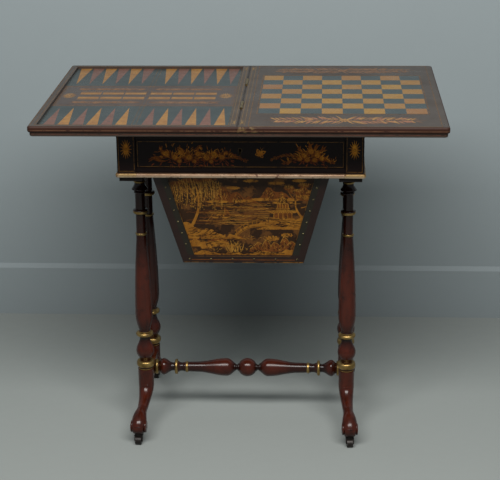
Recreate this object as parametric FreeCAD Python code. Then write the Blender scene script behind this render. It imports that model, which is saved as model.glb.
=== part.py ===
# A fold over games and work table. Two hinged leaves lie open side by side: a backgammon tray on the
# left and a chessboard on the right. The open top rests on a frieze with one drawer, and a tapered
# work box slides out below it. Four turned columns stand on swept feet with castors, and a turned
# stretcher joins the two ends. To close the table the left leaf folds over onto the right one, and
# the pair swivels a quarter turn on a pivot that is off centre by a quarter of a leaf each way.
# Millimetres, +Z up. The origin is on the floor under the centre of the base, with -Y the drawer side.
import FreeCAD, Part
import math
import os

Vec = FreeCAD.Vector
ORIGIN = Vec(0, 0, 0)
ALONG_X = Vec(1, 0, 0)
ALONG_Y = Vec(0, 1, 0)
ALONG_Z = Vec(0, 0, 1)

# Leaves of the top
table_height = 730.0
leaf_width = 408.0
leaf_depth = 550.0
leaf_thick = 21.0
leaf_joint_gap = 0.3
leaf_rest_gap = 0.4
leaf_corner_round = 7.0
edge_inset = 3.5
edge_lower_height = 8.0
edge_upper_round = 4.0
edge_lower_round = 2.5
tray_depth = 5.0
tray_rim_width = 16.0

# Hinges between the leaves
hinge_length = 55.0
hinge_spacing = 206.0
hinge_knuckles = 5
hinge_knuckle_gap = 0.3
hinge_barrel_radius = 2.9
hinge_pin_radius = 1.3
hinge_pin_clear = 0.05
hinge_axis_rise = 0.2
hinge_plate_thick = 1.3
hinge_plate_height = 17.0
hinge_pocket_clear = 0.3

# Pivot under the chess leaf
pivot_plate_size = 62.0
pivot_plate_thick = 3.0
pivot_plate_round = 6.0
pivot_stud_radius = 6.0
pivot_stud_clear = 0.05
pivot_board_width = 84.0
pivot_board_thick = 14.0
pivot_pocket_radius = 13.0
pivot_pocket_depth = 7.0
pivot_washer_radius = 12.0
pivot_washer_thick = 1.2
pivot_nut_radius = 10.0
pivot_nut_height = 4.6
pivot_nut_sides = 6
pivot_play = 0.2
pivot_screw_radius = 2.4
pivot_screw_length = 14.0
pivot_screw_inset = 9.0
stop_peg_radius = 5.0
stop_peg_reach = 66.0
stop_peg_drop = 9.0
stop_peg_socket = 8.0
stop_peg_gap = 0.4
closing_turn = 90.0

# Frieze. The base is laid out around the mouth of the work box
base_side_room = 72.0
base_end_room = 21.0
frieze_height = 96.6
block_size = 38.0
block_setback = 4.0
block_edge_round = 1.5
frieze_board_setback = 7.0
frieze_board_thick = 15.0
rail_setback = 7.0
rail_depth = 34.0
top_strip_height = 15.7
top_rail_height = 12.2
bottom_rail_height = 10.0
dust_board_thick = 5.0
guide_height = 14.0

# Base frame under the frieze, with its half round edge, and the cleats that carry it
moulding_height = 10.0
moulding_round = 4.8
moulding_corner = 5.4
base_back_width = 10.0
cleat_thick = 8.0
cleat_setback = 7.0
cleat_inner_reach = 11.0
slide_clear = 0.3

# Drawer
drawer_side_clear = 0.8
drawer_front_setback = 8.0
drawer_front_thick = 18.0
drawer_front_top_gap = 0.7
drawer_side_thick = 8.0
drawer_side_drop = 8.0
drawer_back_drop = 12.0
drawer_back_thick = 8.0
drawer_bottom_thick = 5.0
drawer_bottom_rise = 6.0
drawer_groove = 3.0
keyhole_drop = 21.3
keyhole_radius = 2.6
keyhole_slot_width = 2.4
keyhole_slot_drop = 9.0
escutcheon_radius = 5.0
escutcheon_length = 13.0
escutcheon_thick = 0.8
lock_width = 46.0
lock_height = 44.0
lock_depth = 9.0
lock_bolt_width = 15.0
lock_bolt_thick = 4.6
lock_bolt_height = 16.0
lock_bolt_clear = 0.2
lock_bolt_inset = 2.2
lock_bolt_travel = 6.0
lock_mortise_spare = 3.6

# Work box
box_top_width = 358.0
box_top_depth = 344.0
box_bottom_width = 252.0
box_bottom_depth = 224.0
box_height = 207.0
box_wall = 8.0
box_floor_thick = 8.0
box_floor_rise = 3.0
box_front_joint = 0.4
box_back_rail_depth = 16.0
box_border_width = 27.0
box_border_thick = 2.0
box_border_bottom = 19.0
stud_radius = 2.1
stud_rise = 1.1
stud_crown_share = 0.55
stud_sides = 8
stud_inset = 8.0
stud_count_side = 6
stud_count_bottom = 6

# Turned columns
cone_turn = 24.0
column_inset = 32.0
column_spacing = 132.0
column_tenon_radius = 8.0
column_tenon_low = 18.0
column_tenon_high = 15.0
torus_radius = 19.5
torus_height = 13.5
torus_fillet_radius = 15.5
torus_fillet_height = 6.0
vase_foot_radius = 12.0
vase_foot_height = 4.0
vase_radius = 19.6
vase_rise = 19.0
vase_height = 49.0
ring_neck_radius = 11.0
ring_neck_height = 5.0
ring_radius = 18.7
ring_height = 9.0
swell_foot_radius = 11.6
swell_foot_height = 4.0
swell_radius = 18.6
swell_rise = 38.0
shaft_radius = 10.3
band_radius = 12.0
band_height = 5.0
swell_height = 218.0
collar_drop = 106.0
collar_radius = 16.0
collar_height = 9.0
flare_drop = 61.0
flare_bead_height = 4.0
flare_bead_radius = 12.4
flare_radius = 16.8
flare_height = 8.0
upper_neck_drop = 38.0
upper_neck_radius = 10.5
cap_drop = 34.0
cap_radius = 18.5
abacus_height = 8.0

# Swept feet
leg_top_height = 131.5
leg_head_radius = 16.9
leg_reach = 99.0
leg_splay = 4.0
leg_head_height = 34.0
leg_flats = 16
ankle_radius = 9.9
foot_center_height = 38.0
whorl_radius = 16.6
whorl_width = 35.0
whorl_ear = 6.0
whorl_face_radius = 12.0
toe_radius = 18.8
foot_under_height = 23.0
# Share of the reach, share of the fall from head to foot centre, and share from ankle to head radius
sweep_shares = ((0.06, 0.74, 0.82), (0.25, 0.51, 0.43), (0.52, 0.35, 0.13), (0.72, 0.28, 0.0),
                (0.88, 0.23, 0.16))

# End rails between the feet, and the stretcher
end_rail_thick = 26.0
end_rail_height = 34.0
end_rail_rise = 89.0
end_rail_arch = 9.0
end_rail_tenon_length = 7.0
end_rail_tenon_thick = 8.0
end_rail_tenon_height = 16.0
stretcher_height = 106.0
stretcher_tenon_radius = 7.0
stretcher_tenon_length = 15.0
glue_fit = 0.1
end_ring_radius = 16.8
end_ring_width = 8.0
end_neck_radius = 12.0
end_neck_width = 2.0
bell_radius = 18.2
bell_inset = 19.0
bell_neck_radius = 9.0
bell_neck_inset = 40.0
disc_radius = 17.2
disc_width = 6.0
disc_inset = 47.5
fillet_radius = 11.8
fillet_width = 4.5
fillet_inset = 70.5
baluster_thin_radius = 9.8
baluster_radius = 19.6
baluster_place = 51.0
waist_radius = 5.8
waist_place = 23.5
ball_radius = 20.2
ball_half_width = 19.5

# Castors
castor_wheel_radius = 9.0
castor_wheel_width = 12.6
castor_trail = 8.0
castor_axle_radius = 1.5
castor_axle_clear = 0.05
castor_side_gap = 0.4
castor_arm_thick = 2.2
castor_arm_width = 6.0
castor_crown_radius = 9.2
castor_crown_height = 2.2
castor_wheel_gap = 0.6
castor_stem_radius = 3.0
castor_stem_clear = 0.05
castor_stem_length = 18.0
castor_socket_radius = 9.3
castor_socket_gap = 0.3
castor_sleeve_radius = 4.4
castor_sleeve_length = 19.0

# Cutting tools run past the faces that they cut by this much
overrun = 2.0

# Heights and half sizes that follow from the values above
leaf_under = table_height - leaf_thick
tray_floor = table_height - tray_depth
frieze_top = leaf_under - leaf_rest_gap
frieze_bottom = frieze_top - frieze_height
base_bottom = frieze_bottom - moulding_height
cleat_bottom = base_bottom - cleat_thick
base_half_x = box_top_width / 2 + base_side_room
base_half_y = box_top_depth / 2 + base_end_room
block_half_x = base_half_x - block_setback
block_half_y = base_half_y - block_setback - glue_fit
block_inner_x = block_half_x - block_size
block_inner_y = block_half_y - block_size
board_half_x = base_half_x - frieze_board_setback
board_half_y = base_half_y - frieze_board_setback
board_inner_x = board_half_x - frieze_board_thick
board_inner_y = board_half_y - frieze_board_thick
rail_front = base_half_y - rail_setback
rail_back = rail_front - rail_depth
column_x = base_half_x - column_inset
column_y = column_spacing / 2
pivot_x = leaf_width / 4
pivot_y = leaf_width / 4
hinge_axis_height = table_height + hinge_axis_rise
peg_offset = stop_peg_reach * math.cos(math.radians(closing_turn / 2))
pivot_board_front = pivot_y - peg_offset + stop_peg_radius + stop_peg_gap
drawer_half_x = block_inner_x - drawer_side_clear
drawer_low = frieze_bottom + bottom_rail_height + slide_clear
drawer_front_face = base_half_y - drawer_front_setback
drawer_front_inner = drawer_front_face - drawer_front_thick
top_rail_top = frieze_top - top_strip_height
drawer_front_top = top_rail_top - top_rail_height - drawer_front_top_gap
keyhole_height = drawer_front_top - keyhole_drop
bolt_depth_front = drawer_front_inner + lock_depth - lock_bolt_inset
box_top_height = base_bottom + slide_clear
box_frame_top = frieze_bottom - slide_clear

nodes = {}


def block(x_limits, y_limits, z_limits):
    """A box between a low and a high limit on each axis."""
    low = Vec(min(x_limits), min(y_limits), min(z_limits))
    high = Vec(max(x_limits), max(y_limits), max(z_limits))
    size = high - low
    return Part.makeBox(size.x, size.y, size.z, low)


def mirror_x(shape):
    return shape.mirror(ORIGIN, ALONG_X)


def mirror_y(shape):
    return shape.mirror(ORIGIN, ALONG_Y)


def rod(radius, length, base, direction):
    return Part.makeCylinder(radius, length, base, direction)


def group(shapes):
    return Part.makeCompound(shapes)


def round_edges(shape, radius, wanted):
    """Fillet the edges whose middle point passes the test."""
    picked = [edge for edge in shape.Edges if wanted(edge)]
    return shape.makeFillet(radius, picked)


def middle(edge):
    first, last = edge.ParameterRange
    return edge.valueAt((first + last) / 2)


def is_upright(edge):
    ends = [vertex.Point for vertex in edge.Vertexes]
    if len(ends) < 2:
        return False
    rise = ends[1] - ends[0]
    return abs(rise.z) > abs(rise.x) + abs(rise.y)


def flat_face(points):
    """A flat face through the given corner points."""
    return Part.Face(Part.makePolygon(points + points[:1]))


def regular_corners(sides, radius, center):
    """Corners of a regular outline, with the first one repeated at the end."""
    turns = [2 * math.pi * index / sides for index in range(sides + 1)]
    return [center + Vec(radius * math.cos(turn), radius * math.sin(turn), 0) for turn in turns]


class Turning:
    """Half outline of a turned piece as radius and height, drawn from the bottom up."""

    def __init__(self, height):
        self.points = [Vec(0, 0, height)]
        self.edges = []

    def here(self):
        return self.points[-1]

    def add(self, edge, end):
        self.edges.append(edge)
        self.points.append(end)

    def line(self, radius, height):
        end = Vec(radius, 0, height)
        if (end - self.here()).Length > 0:
            self.add(Part.makeLine(self.here(), end), end)

    def step(self, radius):
        self.line(radius, self.here().z)

    def bulge(self, reach, height):
        """A rounded bead that swells to the given radius halfway up."""
        start = self.here()
        self.follow(Part.Arc(start, Vec(reach, 0, (start.z + height) / 2), Vec(start.x, 0, height)))

    def follow(self, arc):
        """Short cones along an arc, so that its mesh stays light."""
        turn = math.degrees(arc.LastParameter - arc.FirstParameter)
        count = math.ceil(turn / cone_turn)
        for point in arc.toShape().discretize(count + 1)[1:]:
            self.line(point.x, point.z)

    def ease(self, radius, height):
        """Two equal arcs that leave and arrive upright, as in a vase or a swelling."""
        mid = (self.here() + Vec(radius, 0, height)) / 2
        self.lean(mid.x, mid.z)
        self.settle(radius, height)

    def lean(self, radius, height):
        """One arc that leaves upright, as in a long taper."""
        start = self.here()
        end = Vec(radius, 0, height)
        self.follow(Part.Arc(start, start + self.bow(end - start), end))

    def settle(self, radius, height):
        """One arc that arrives upright, as in the foot of a vase."""
        start = self.here()
        end = Vec(radius, 0, height)
        self.follow(Part.Arc(start, end - self.bow(end - start), end))

    def bow(self, chord):
        """From the upright end of an arc over the given chord to the arc's middle point."""
        sweep = math.atan2(abs(chord.x), chord.z)
        arc_radius = chord.Length / (2 * math.sin(sweep))
        reach = math.copysign(arc_radius * (1 - math.cos(sweep)), chord.x)
        return Vec(reach, 0, arc_radius * math.sin(sweep))

    def ridge(self, reach, height):
        """A small bead with flat sides."""
        start = self.here()
        third = (height - start.z) / 3
        self.line(reach, start.z + third)
        self.line(reach, height - third)
        self.line(start.x, height)

    def disc(self, reach, height):
        """A flat edged ring."""
        start = self.here()
        self.step(reach)
        self.line(reach, height)
        self.step(start.x)

    def solid(self):
        end = Vec(0, 0, self.here().z)
        self.add(Part.makeLine(self.here(), end), end)
        self.edges.append(Part.makeLine(end, self.points[0]))
        face = Part.Face(Part.Wire(self.edges))
        return face.revolve(ORIGIN, ALONG_Z, 360)


def placed(shape, base, direction):
    """Turn a shape from +Z to a direction and move it to its place."""
    copy = shape.copy()
    copy.Placement = FreeCAD.Placement(base, FreeCAD.Rotation(ALONG_Z, direction))
    return copy


def leaf_plan(inset, low, high):
    """A leaf's slab: square at the joint, rounded at its two outer corners."""
    outer_x = leaf_width - inset
    half_y = leaf_depth / 2 - inset
    slab = block((leaf_joint_gap / 2, outer_x), (-half_y, half_y), (low, high))
    return round_edges(slab, leaf_corner_round,
                       lambda edge: is_upright(edge) and middle(edge).x > leaf_width / 2)


def moulded_leaf():
    """One leaf with its two step moulded edge, before it is cut for its fittings."""
    step_height = leaf_under + edge_lower_height

    def outer(edge, height):
        return abs(middle(edge).z - height) < edge_inset / 2 and middle(edge).x > leaf_joint_gap

    lower = leaf_plan(edge_inset, leaf_under, step_height)
    lower = round_edges(lower, edge_lower_round, lambda edge: outer(edge, leaf_under))
    upper = leaf_plan(0, step_height, table_height)
    upper = round_edges(upper, edge_upper_round,
                        lambda edge: outer(edge, step_height) or outer(edge, table_height))
    return lower.fuse(upper).removeSplitter()


def hinge_places():
    return (-hinge_spacing / 2, hinge_spacing / 2)


def hinge_axis_point(y):
    return Vec(0, y, hinge_axis_height)


def knuckle_tube(start, length, radius):
    return rod(radius, length, hinge_axis_point(start), ALONG_Y)


def hinge_half(center, side):
    """Plate and knuckles of one half. The fixed half holds the odd knuckles, the other the even ones."""
    start = center - hinge_length / 2
    near = leaf_joint_gap / 2
    plate_low = hinge_axis_height - hinge_plate_height
    plate = block((near, near + hinge_plate_thick), (start, start + hinge_length),
                  (plate_low, hinge_axis_height - hinge_pin_radius))
    pitch = hinge_length / hinge_knuckles
    half = plate
    for index in range(hinge_knuckles):
        low = start + index * pitch
        if index % 2 == side:
            tube = knuckle_tube(low + hinge_knuckle_gap / 2, pitch - hinge_knuckle_gap, hinge_barrel_radius)
            half = half.fuse(tube)
        else:
            room_low = hinge_axis_height - hinge_barrel_radius - hinge_pocket_clear
            half = half.cut(block((0, near + hinge_plate_thick + overrun),
                                  (low - hinge_knuckle_gap / 2, low + pitch + hinge_knuckle_gap / 2),
                                  (room_low, hinge_axis_height)))
    bore = knuckle_tube(start - overrun, hinge_length + 2 * overrun, hinge_pin_radius + hinge_pin_clear)
    half = half.cut(bore)
    return half


def hinge_pocket(center):
    """The room that one hinge takes out of the edge of a leaf."""
    start = center - hinge_length / 2
    near = leaf_joint_gap / 2
    plate_low = hinge_axis_height - hinge_plate_height
    pocket = block((near - overrun, near + hinge_plate_thick), (start, start + hinge_length),
                   (plate_low, table_height + overrun))
    relief = knuckle_tube(start, hinge_length, hinge_barrel_radius + hinge_pocket_clear)
    return pocket.fuse(relief)


def cut_for_hinges(leaf):
    return leaf.cut([hinge_pocket(center) for center in hinge_places()])


def make_hinges():
    places = hinge_places()
    nodes["hinge_plates_fixed"] = group([hinge_half(center, 0) for center in places])
    nodes["hinge_plates_folding"] = mirror_x(group([hinge_half(center, 1) for center in places]))
    nodes["hinge_pins"] = group([knuckle_tube(center - hinge_length / 2, hinge_length, hinge_pin_radius)
                                 for center in places])


def pivot_plate_screws():
    """Headless screws, flush with the underside of the plate."""
    reach = pivot_plate_size / 2 - pivot_screw_inset
    return [rod(pivot_screw_radius, pivot_screw_length, Vec(pivot_x + x, pivot_y + y, leaf_under), ALONG_Z)
            for x in (-reach, reach) for y in (-reach, reach)]


def stop_peg():
    """The peg that meets the front edge of the pivot board at both ends of the quarter turn."""
    place = Vec(pivot_x + peg_offset, pivot_y - peg_offset, leaf_under - stop_peg_drop)
    peg = rod(stop_peg_radius, stop_peg_drop + stop_peg_socket, place, ALONG_Z)
    return peg


def make_chess_leaf():
    half = pivot_plate_size / 2
    plate = block((pivot_x - half, pivot_x + half), (pivot_y - half, pivot_y + half),
                  (leaf_under, leaf_under + pivot_plate_thick))
    plate = round_edges(plate, pivot_plate_round, is_upright)
    screws = pivot_plate_screws()
    peg = stop_peg()
    leaf = cut_for_hinges(moulded_leaf()).cut([plate, peg] + screws)
    stud_low = frieze_top - pivot_board_thick + pivot_play
    stud = rod(pivot_stud_radius, leaf_under - stud_low, Vec(pivot_x, pivot_y, stud_low), ALONG_Z)
    nodes["chess_leaf"] = leaf
    nodes["pivot_plate"] = plate.fuse(stud).cut(screws)
    nodes["swivel_stop_peg"] = peg
    nodes["pivot_screws"] = group(screws)


def make_pivot_nut():
    """Washer and nut that keep the stud down, inside the pocket under the pivot board."""
    washer_top = frieze_top - pivot_board_thick + pivot_pocket_depth - pivot_play
    washer_low = washer_top - pivot_washer_thick
    nut_low = washer_low - pivot_nut_height
    corners = regular_corners(pivot_nut_sides, pivot_nut_radius, Vec(pivot_x, pivot_y, nut_low))
    nut = flat_face(corners[:-1]).extrude(Vec(0, 0, pivot_nut_height))
    washer = rod(pivot_washer_radius, pivot_washer_thick, Vec(pivot_x, pivot_y, washer_low), ALONG_Z)
    bore = rod(pivot_stud_radius, pivot_pocket_depth + overrun,
               Vec(pivot_x, pivot_y, nut_low - overrun), ALONG_Z)
    nodes["pivot_nut"] = group([washer.cut(bore), nut.cut(bore)])


def make_tray_leaf():
    """The backgammon leaf: a board with a raised rim in four mitred pieces."""
    leaf = cut_for_hinges(moulded_leaf())
    inner_x = leaf_joint_gap / 2
    half_y = leaf_depth / 2
    above = block((inner_x - overrun, leaf_width + overrun), (-leaf_depth, leaf_depth),
                  (tray_floor, table_height + overrun))
    well = block((inner_x + tray_rim_width, leaf_width - tray_rim_width),
                 (tray_rim_width - half_y, half_y - tray_rim_width), (tray_floor, table_height + overrun))
    ring = leaf.common(above).cut(well)
    half_x = (leaf_width - inner_x) / 2
    outer = [Vec(inner_x, -half_y, tray_floor), Vec(leaf_width, -half_y, tray_floor),
             Vec(leaf_width, half_y, tray_floor), Vec(inner_x, half_y, tray_floor)]
    inner = [Vec(inner_x + half_x, half_x - half_y, tray_floor),
             Vec(inner_x + half_x, half_y - half_x, tray_floor)]
    sectors = [[outer[0], outer[1], inner[0]], [outer[1], outer[2], inner[1], inner[0]],
               [outer[2], outer[3], inner[1]], [outer[3], outer[0], inner[0], inner[1]]]
    pieces = [ring.common(flat_face(corners).extrude(Vec(0, 0, tray_depth + overrun)))
              for corners in sectors]
    nodes["tray_panel"] = mirror_x(leaf.cut(above))
    nodes["tray_rim"] = mirror_x(group(pieces))


def make_frieze():
    heights = (frieze_bottom, frieze_top)
    corner = block((block_inner_x, block_half_x), (block_inner_y, block_half_y), heights)
    corner = round_edges(corner, block_edge_round, is_upright)
    right = [corner, mirror_y(corner)]
    nodes["corner_blocks"] = group(right + [mirror_x(piece) for piece in right])
    end_board = block((board_inner_x, board_half_x), (-block_inner_y, block_inner_y), heights)
    nodes["frieze_end_right"] = end_board
    nodes["frieze_end_left"] = mirror_x(end_board)
    nodes["frieze_back"] = block((-block_inner_x, block_inner_x), (board_inner_y, board_half_y), heights)
    across, depth = (-block_inner_x, block_inner_x), (-rail_front, -rail_back)
    nodes["frieze_top_strip"] = block(across, depth, (top_rail_top, frieze_top))
    top_rail = block(across, depth, (top_rail_top - top_rail_height, top_rail_top))
    mortise_top = drawer_front_top + lock_bolt_travel + lock_mortise_spare
    bolt_half = lock_bolt_width / 2 + lock_bolt_clear
    bolt_front = -bolt_depth_front - lock_bolt_clear
    bolt_back = -bolt_depth_front + lock_bolt_thick + lock_bolt_clear
    mortise = block((-bolt_half, bolt_half), (bolt_front, bolt_back), (drawer_front_top, mortise_top))
    nodes["drawer_top_rail"] = top_rail.cut(mortise)
    nodes["drawer_bottom_rail"] = block(across, depth, (frieze_bottom, frieze_bottom + bottom_rail_height))


def make_pivot_board():
    low = frieze_top - pivot_board_thick
    board = block((-board_inner_x, board_inner_x),
                  (pivot_board_front, pivot_board_front + pivot_board_width), (low, frieze_top))
    bore = rod(pivot_stud_radius + pivot_stud_clear, pivot_board_thick + 2 * overrun,
               Vec(pivot_x, pivot_y, low - overrun), ALONG_Z)
    pocket = rod(pivot_pocket_radius, pivot_pocket_depth + overrun,
                 Vec(pivot_x, pivot_y, low - overrun), ALONG_Z)
    nodes["pivot_board"] = board.cut([bore, pocket])


def make_drawer_supports():
    """Rebated runners that carry and guide the drawer, and the dust board between them."""
    inner_x = drawer_half_x - frieze_board_thick
    shelf_top = frieze_bottom + bottom_rail_height
    shelf = block((inner_x, block_inner_x), (-rail_back, block_inner_y), (frieze_bottom, shelf_top))
    guide = block((block_inner_x, board_inner_x), (-block_inner_y, block_inner_y),
                  (frieze_bottom, shelf_top + guide_height))
    runner = shelf.fuse(guide).removeSplitter()
    nodes["drawer_runners"] = group([runner, mirror_x(runner)])
    nodes["dust_board"] = block((-inner_x, inner_x), (-rail_back, board_inner_y),
                                (frieze_bottom, frieze_bottom + dust_board_thick))


def column_bore(low, high):
    """Sockets for the two columns at the right end."""
    radius = column_tenon_radius + glue_fit
    return [rod(radius, high - low, Vec(column_x, y, low), ALONG_Z) for y in (-column_y, column_y)]


def make_base_frame():
    inner_x = block_inner_x - box_front_joint - glue_fit
    side = block((inner_x, base_half_x), (-base_half_y, base_half_y), (base_bottom, frieze_bottom))
    side = round_edges(side, moulding_corner, lambda edge: is_upright(edge) and middle(edge).x > column_x)

    def on_rim(edge):
        point = middle(edge)
        return not is_upright(edge) and point.x > inner_x + glue_fit

    side = round_edges(side, moulding_round, on_rim)
    side = side.cut(column_bore(base_bottom - overrun, cleat_bottom + column_tenon_high))
    nodes["base_frame_right"] = side
    nodes["base_frame_left"] = mirror_x(side)
    back = block((-inner_x, inner_x), (base_half_y - base_back_width, base_half_y),
                 (base_bottom, frieze_bottom))

    def on_back(edge):
        point = middle(edge)
        return point.y > base_half_y - moulding_round and abs(point.x) < inner_x / 2

    nodes["base_frame_back"] = round_edges(back, moulding_round, on_back)
    cleat = block((block_inner_x - cleat_inner_reach - box_front_joint, base_half_x - cleat_setback),
                  (-base_half_y + cleat_setback, base_half_y - cleat_setback), (cleat_bottom, base_bottom))
    cleat = round_edges(cleat, block_edge_round, lambda edge: is_upright(edge) and middle(edge).x > column_x)
    cleat = cleat.cut(column_bore(cleat_bottom - overrun, base_bottom + overrun))
    nodes["end_cleat_right"] = cleat
    nodes["end_cleat_left"] = mirror_x(cleat)


def keyhole(reach):
    """A round hole over a short slot, cut along Y through a stated depth behind the drawer's face."""
    start = Vec(0, -drawer_front_face - overrun, keyhole_height)
    hole = rod(keyhole_radius, reach + overrun, start, ALONG_Y)
    half = keyhole_slot_width / 2
    slot = block((-half, half), (start.y, reach - drawer_front_face),
                 (keyhole_height - keyhole_slot_drop, keyhole_height))
    return hole.fuse(slot)


def escutcheon_outline(growth):
    """The outside of the brass liner: a round head over a narrower tail."""
    start = Vec(0, -drawer_front_face, keyhole_height)
    head = rod(escutcheon_radius + growth, escutcheon_length, start, ALONG_Y)
    half = keyhole_slot_width / 2 + escutcheon_thick + growth
    tail_low = keyhole_height - escutcheon_length + escutcheon_radius / 2
    tail = block((-half, half), (start.y, start.y + escutcheon_length), (tail_low - growth, keyhole_height))
    return head.fuse(tail).removeSplitter()


def make_drawer():
    face = -drawer_front_face
    inner = -drawer_front_inner
    front = block((-drawer_half_x, drawer_half_x), (face, inner), (drawer_low, drawer_front_top))
    lock_low = drawer_front_top - lock_height
    lock_half = lock_width / 2
    lock_case = block((-lock_half, lock_half), (inner - lock_depth, inner), (lock_low, drawer_front_top))
    bolt_low = drawer_front_top - lock_bolt_height
    bolt_y = (-bolt_depth_front, -bolt_depth_front + lock_bolt_thick)
    bolt_half = lock_bolt_width / 2
    bolt = block((-bolt_half, bolt_half), bolt_y, (bolt_low, drawer_front_top - lock_bolt_clear))
    slot = block((-bolt_half - lock_bolt_clear, bolt_half + lock_bolt_clear),
                 (bolt_y[0] - lock_bolt_clear, bolt_y[1] + lock_bolt_clear),
                 (bolt_low - lock_bolt_clear, drawer_front_top + overrun))
    groove_low = drawer_low + drawer_bottom_rise
    groove_high = groove_low + drawer_bottom_thick
    side_inner = drawer_half_x - drawer_side_thick
    side_top = drawer_front_top - drawer_side_drop
    back_end = board_inner_y - slide_clear
    back_start = back_end - drawer_back_thick
    side = block((side_inner, drawer_half_x), (inner, back_end), (drawer_low, side_top))
    front_groove = block((-side_inner - drawer_groove, side_inner + drawer_groove),
                         (inner - drawer_groove, inner), (groove_low, groove_high))
    side_groove = block((side_inner - overrun, side_inner + drawer_groove), (inner, back_end + overrun),
                        (groove_low, groove_high))
    through = drawer_front_thick + overrun
    case_hole = keyhole(through)
    nodes["drawer_front"] = front.cut([lock_case, front_groove, escutcheon_outline(0)])
    nodes["keyhole_escutcheon"] = escutcheon_outline(0).cut([case_hole, lock_case])
    nodes["drawer_lock"] = lock_case.cut([slot, case_hole])
    nodes["lock_bolt"] = bolt
    side = side.cut(side_groove)
    nodes["drawer_sides"] = group([side, mirror_x(side)])
    nodes["drawer_back"] = block((-side_inner, side_inner), (back_start, back_end),
                                 (groove_high, side_top - drawer_back_drop + drawer_side_drop))
    floor_half = side_inner + drawer_groove - glue_fit
    nodes["drawer_bottom"] = block((-floor_half, floor_half), (inner - drawer_groove + glue_fit, back_end),
                                   (groove_low + glue_fit, groove_high))


def box_corner(sign_x, sign_y, share, inward):
    """A corner of the tapered box, from its top at share 0 to its bottom at share 1."""
    half_x = (box_top_width + (box_bottom_width - box_top_width) * share) / 2 - inward
    half_y = (box_top_depth + (box_bottom_depth - box_top_depth) * share) / 2 - inward
    return Vec(sign_x * half_x, sign_y * half_y, box_top_height - box_height * share)


def tapered_panel(signs):
    """One mitred wall between two upright corners of the box."""
    faces = []
    for inward in (0, box_wall):
        corners = [box_corner(*signs[0], 0, inward), box_corner(*signs[1], 0, inward),
                   box_corner(*signs[1], 1, inward), box_corner(*signs[0], 1, inward)]
        faces.append(Part.makePolygon(corners + corners[:1]))
    return Part.makeLoft(faces, True, True)


def box_front_point(across, down, out):
    """A point on the box front: distance from its left edge, distance down the slope, height off it."""
    top = box_corner(-1, -1, 0, 0)
    bottom = box_corner(-1, -1, 1, 0)
    slope = bottom - top
    slope.x = 0
    length = slope.Length
    down_way = slope * (1 / length)
    out_way = ALONG_X.cross(down_way) * -1
    if out_way.y > 0:
        out_way = out_way * -1
    edge_x = top.x + (bottom.x - top.x) * down / length
    return Vec(edge_x + across, top.y, top.z) + down_way * down + out_way * out, out_way


def front_slope_length():
    fall = box_corner(-1, -1, 1, 0) - box_corner(-1, -1, 0, 0)
    return math.hypot(fall.y, fall.z)


def border_strip(across, downs):
    """A strip of the front border between two places across and two down the slope."""
    corners = [box_front_point(across[0], downs[0], 0)[0], box_front_point(across[1], downs[0], 0)[0],
               box_front_point(across[1], downs[1], 0)[0], box_front_point(across[0], downs[1], 0)[0]]
    out_way = box_front_point(0, 0, 0)[1]
    return flat_face(corners).extrude(out_way * box_border_thick)


def make_box_front_trim():
    """Border strips and studs on the front of the box."""
    length = front_slope_length()
    turn = length - box_border_bottom
    side = border_strip((0, box_border_width), (0, turn))
    foot_corners = [box_corner(-1, -1, 1, 0), box_corner(1, -1, 1, 0)]
    left_top, out_way = box_front_point(0, turn, 0)
    right_top = Vec(-left_top.x, left_top.y, left_top.z)
    foot = flat_face([left_top, right_top, foot_corners[1], foot_corners[0]])
    foot = foot.extrude(out_way * box_border_thick)
    nodes["work_box_border"] = group([side, mirror_x(side), foot])
    rims = []
    for radius, height in ((stud_radius, 0), (stud_radius * stud_crown_share, stud_rise)):
        rims.append(Part.makePolygon(regular_corners(stud_sides, radius, Vec(0, 0, height))))
    dome = Part.makeLoft(rims, True, True)
    studs = []
    for index in range(stud_count_side):
        down = turn * (index + 1) / (stud_count_side + 1)
        place, way = box_front_point(box_border_width - stud_inset, down, box_border_thick)
        stud = placed(dome, place, way)
        studs.extend([stud, mirror_x(stud)])
    span = box_bottom_width - box_border_width
    for index in range(stud_count_bottom):
        place, way = box_front_point(0, length - box_border_bottom / 2, box_border_thick)
        place.x = span * (index / (stud_count_bottom - 1) - 1 / 2)
        studs.append(placed(dome, place, way))
    nodes["work_box_studs"] = group(studs)


def make_work_box():
    nodes["work_box_front"] = tapered_panel(((-1, -1), (1, -1)))
    nodes["work_box_back"] = tapered_panel(((1, 1), (-1, 1)))
    wall = tapered_panel(((1, -1), (1, 1)))
    nodes["work_box_walls"] = group([wall, mirror_x(wall)])
    shares = [1 - (box_floor_rise + box_floor_thick) / box_height, 1 - box_floor_rise / box_height]
    outlines = []
    for share in shares:
        corners = [box_corner(x, y, share, box_wall) for x, y in ((-1, -1), (1, -1), (1, 1), (-1, 1))]
        outlines.append(Part.makePolygon(corners + corners[:1]))
    nodes["work_box_floor"] = Part.makeLoft(outlines, True, True)
    heights = (box_top_height, box_frame_top)
    inner_x = box_top_width / 2 - box_wall
    inner_y = box_top_depth / 2 - box_wall
    outer_x = block_inner_x - box_front_joint - slide_clear - glue_fit
    front = block((-outer_x, outer_x), (-base_half_y, -inner_y), heights)

    def on_nose(edge):
        return abs(middle(edge).y + base_half_y) < glue_fit and not is_upright(edge)

    nodes["work_box_front_rail"] = round_edges(front, moulding_round - slide_clear, on_nose)
    back_edge = inner_y + box_back_rail_depth
    side = block((inner_x, outer_x - slide_clear), (-inner_y, back_edge), heights)
    back = block((-inner_x, inner_x), (inner_y, back_edge), heights)
    nodes["work_box_frame"] = group([side, mirror_x(side), back])
    make_box_front_trim()


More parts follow.
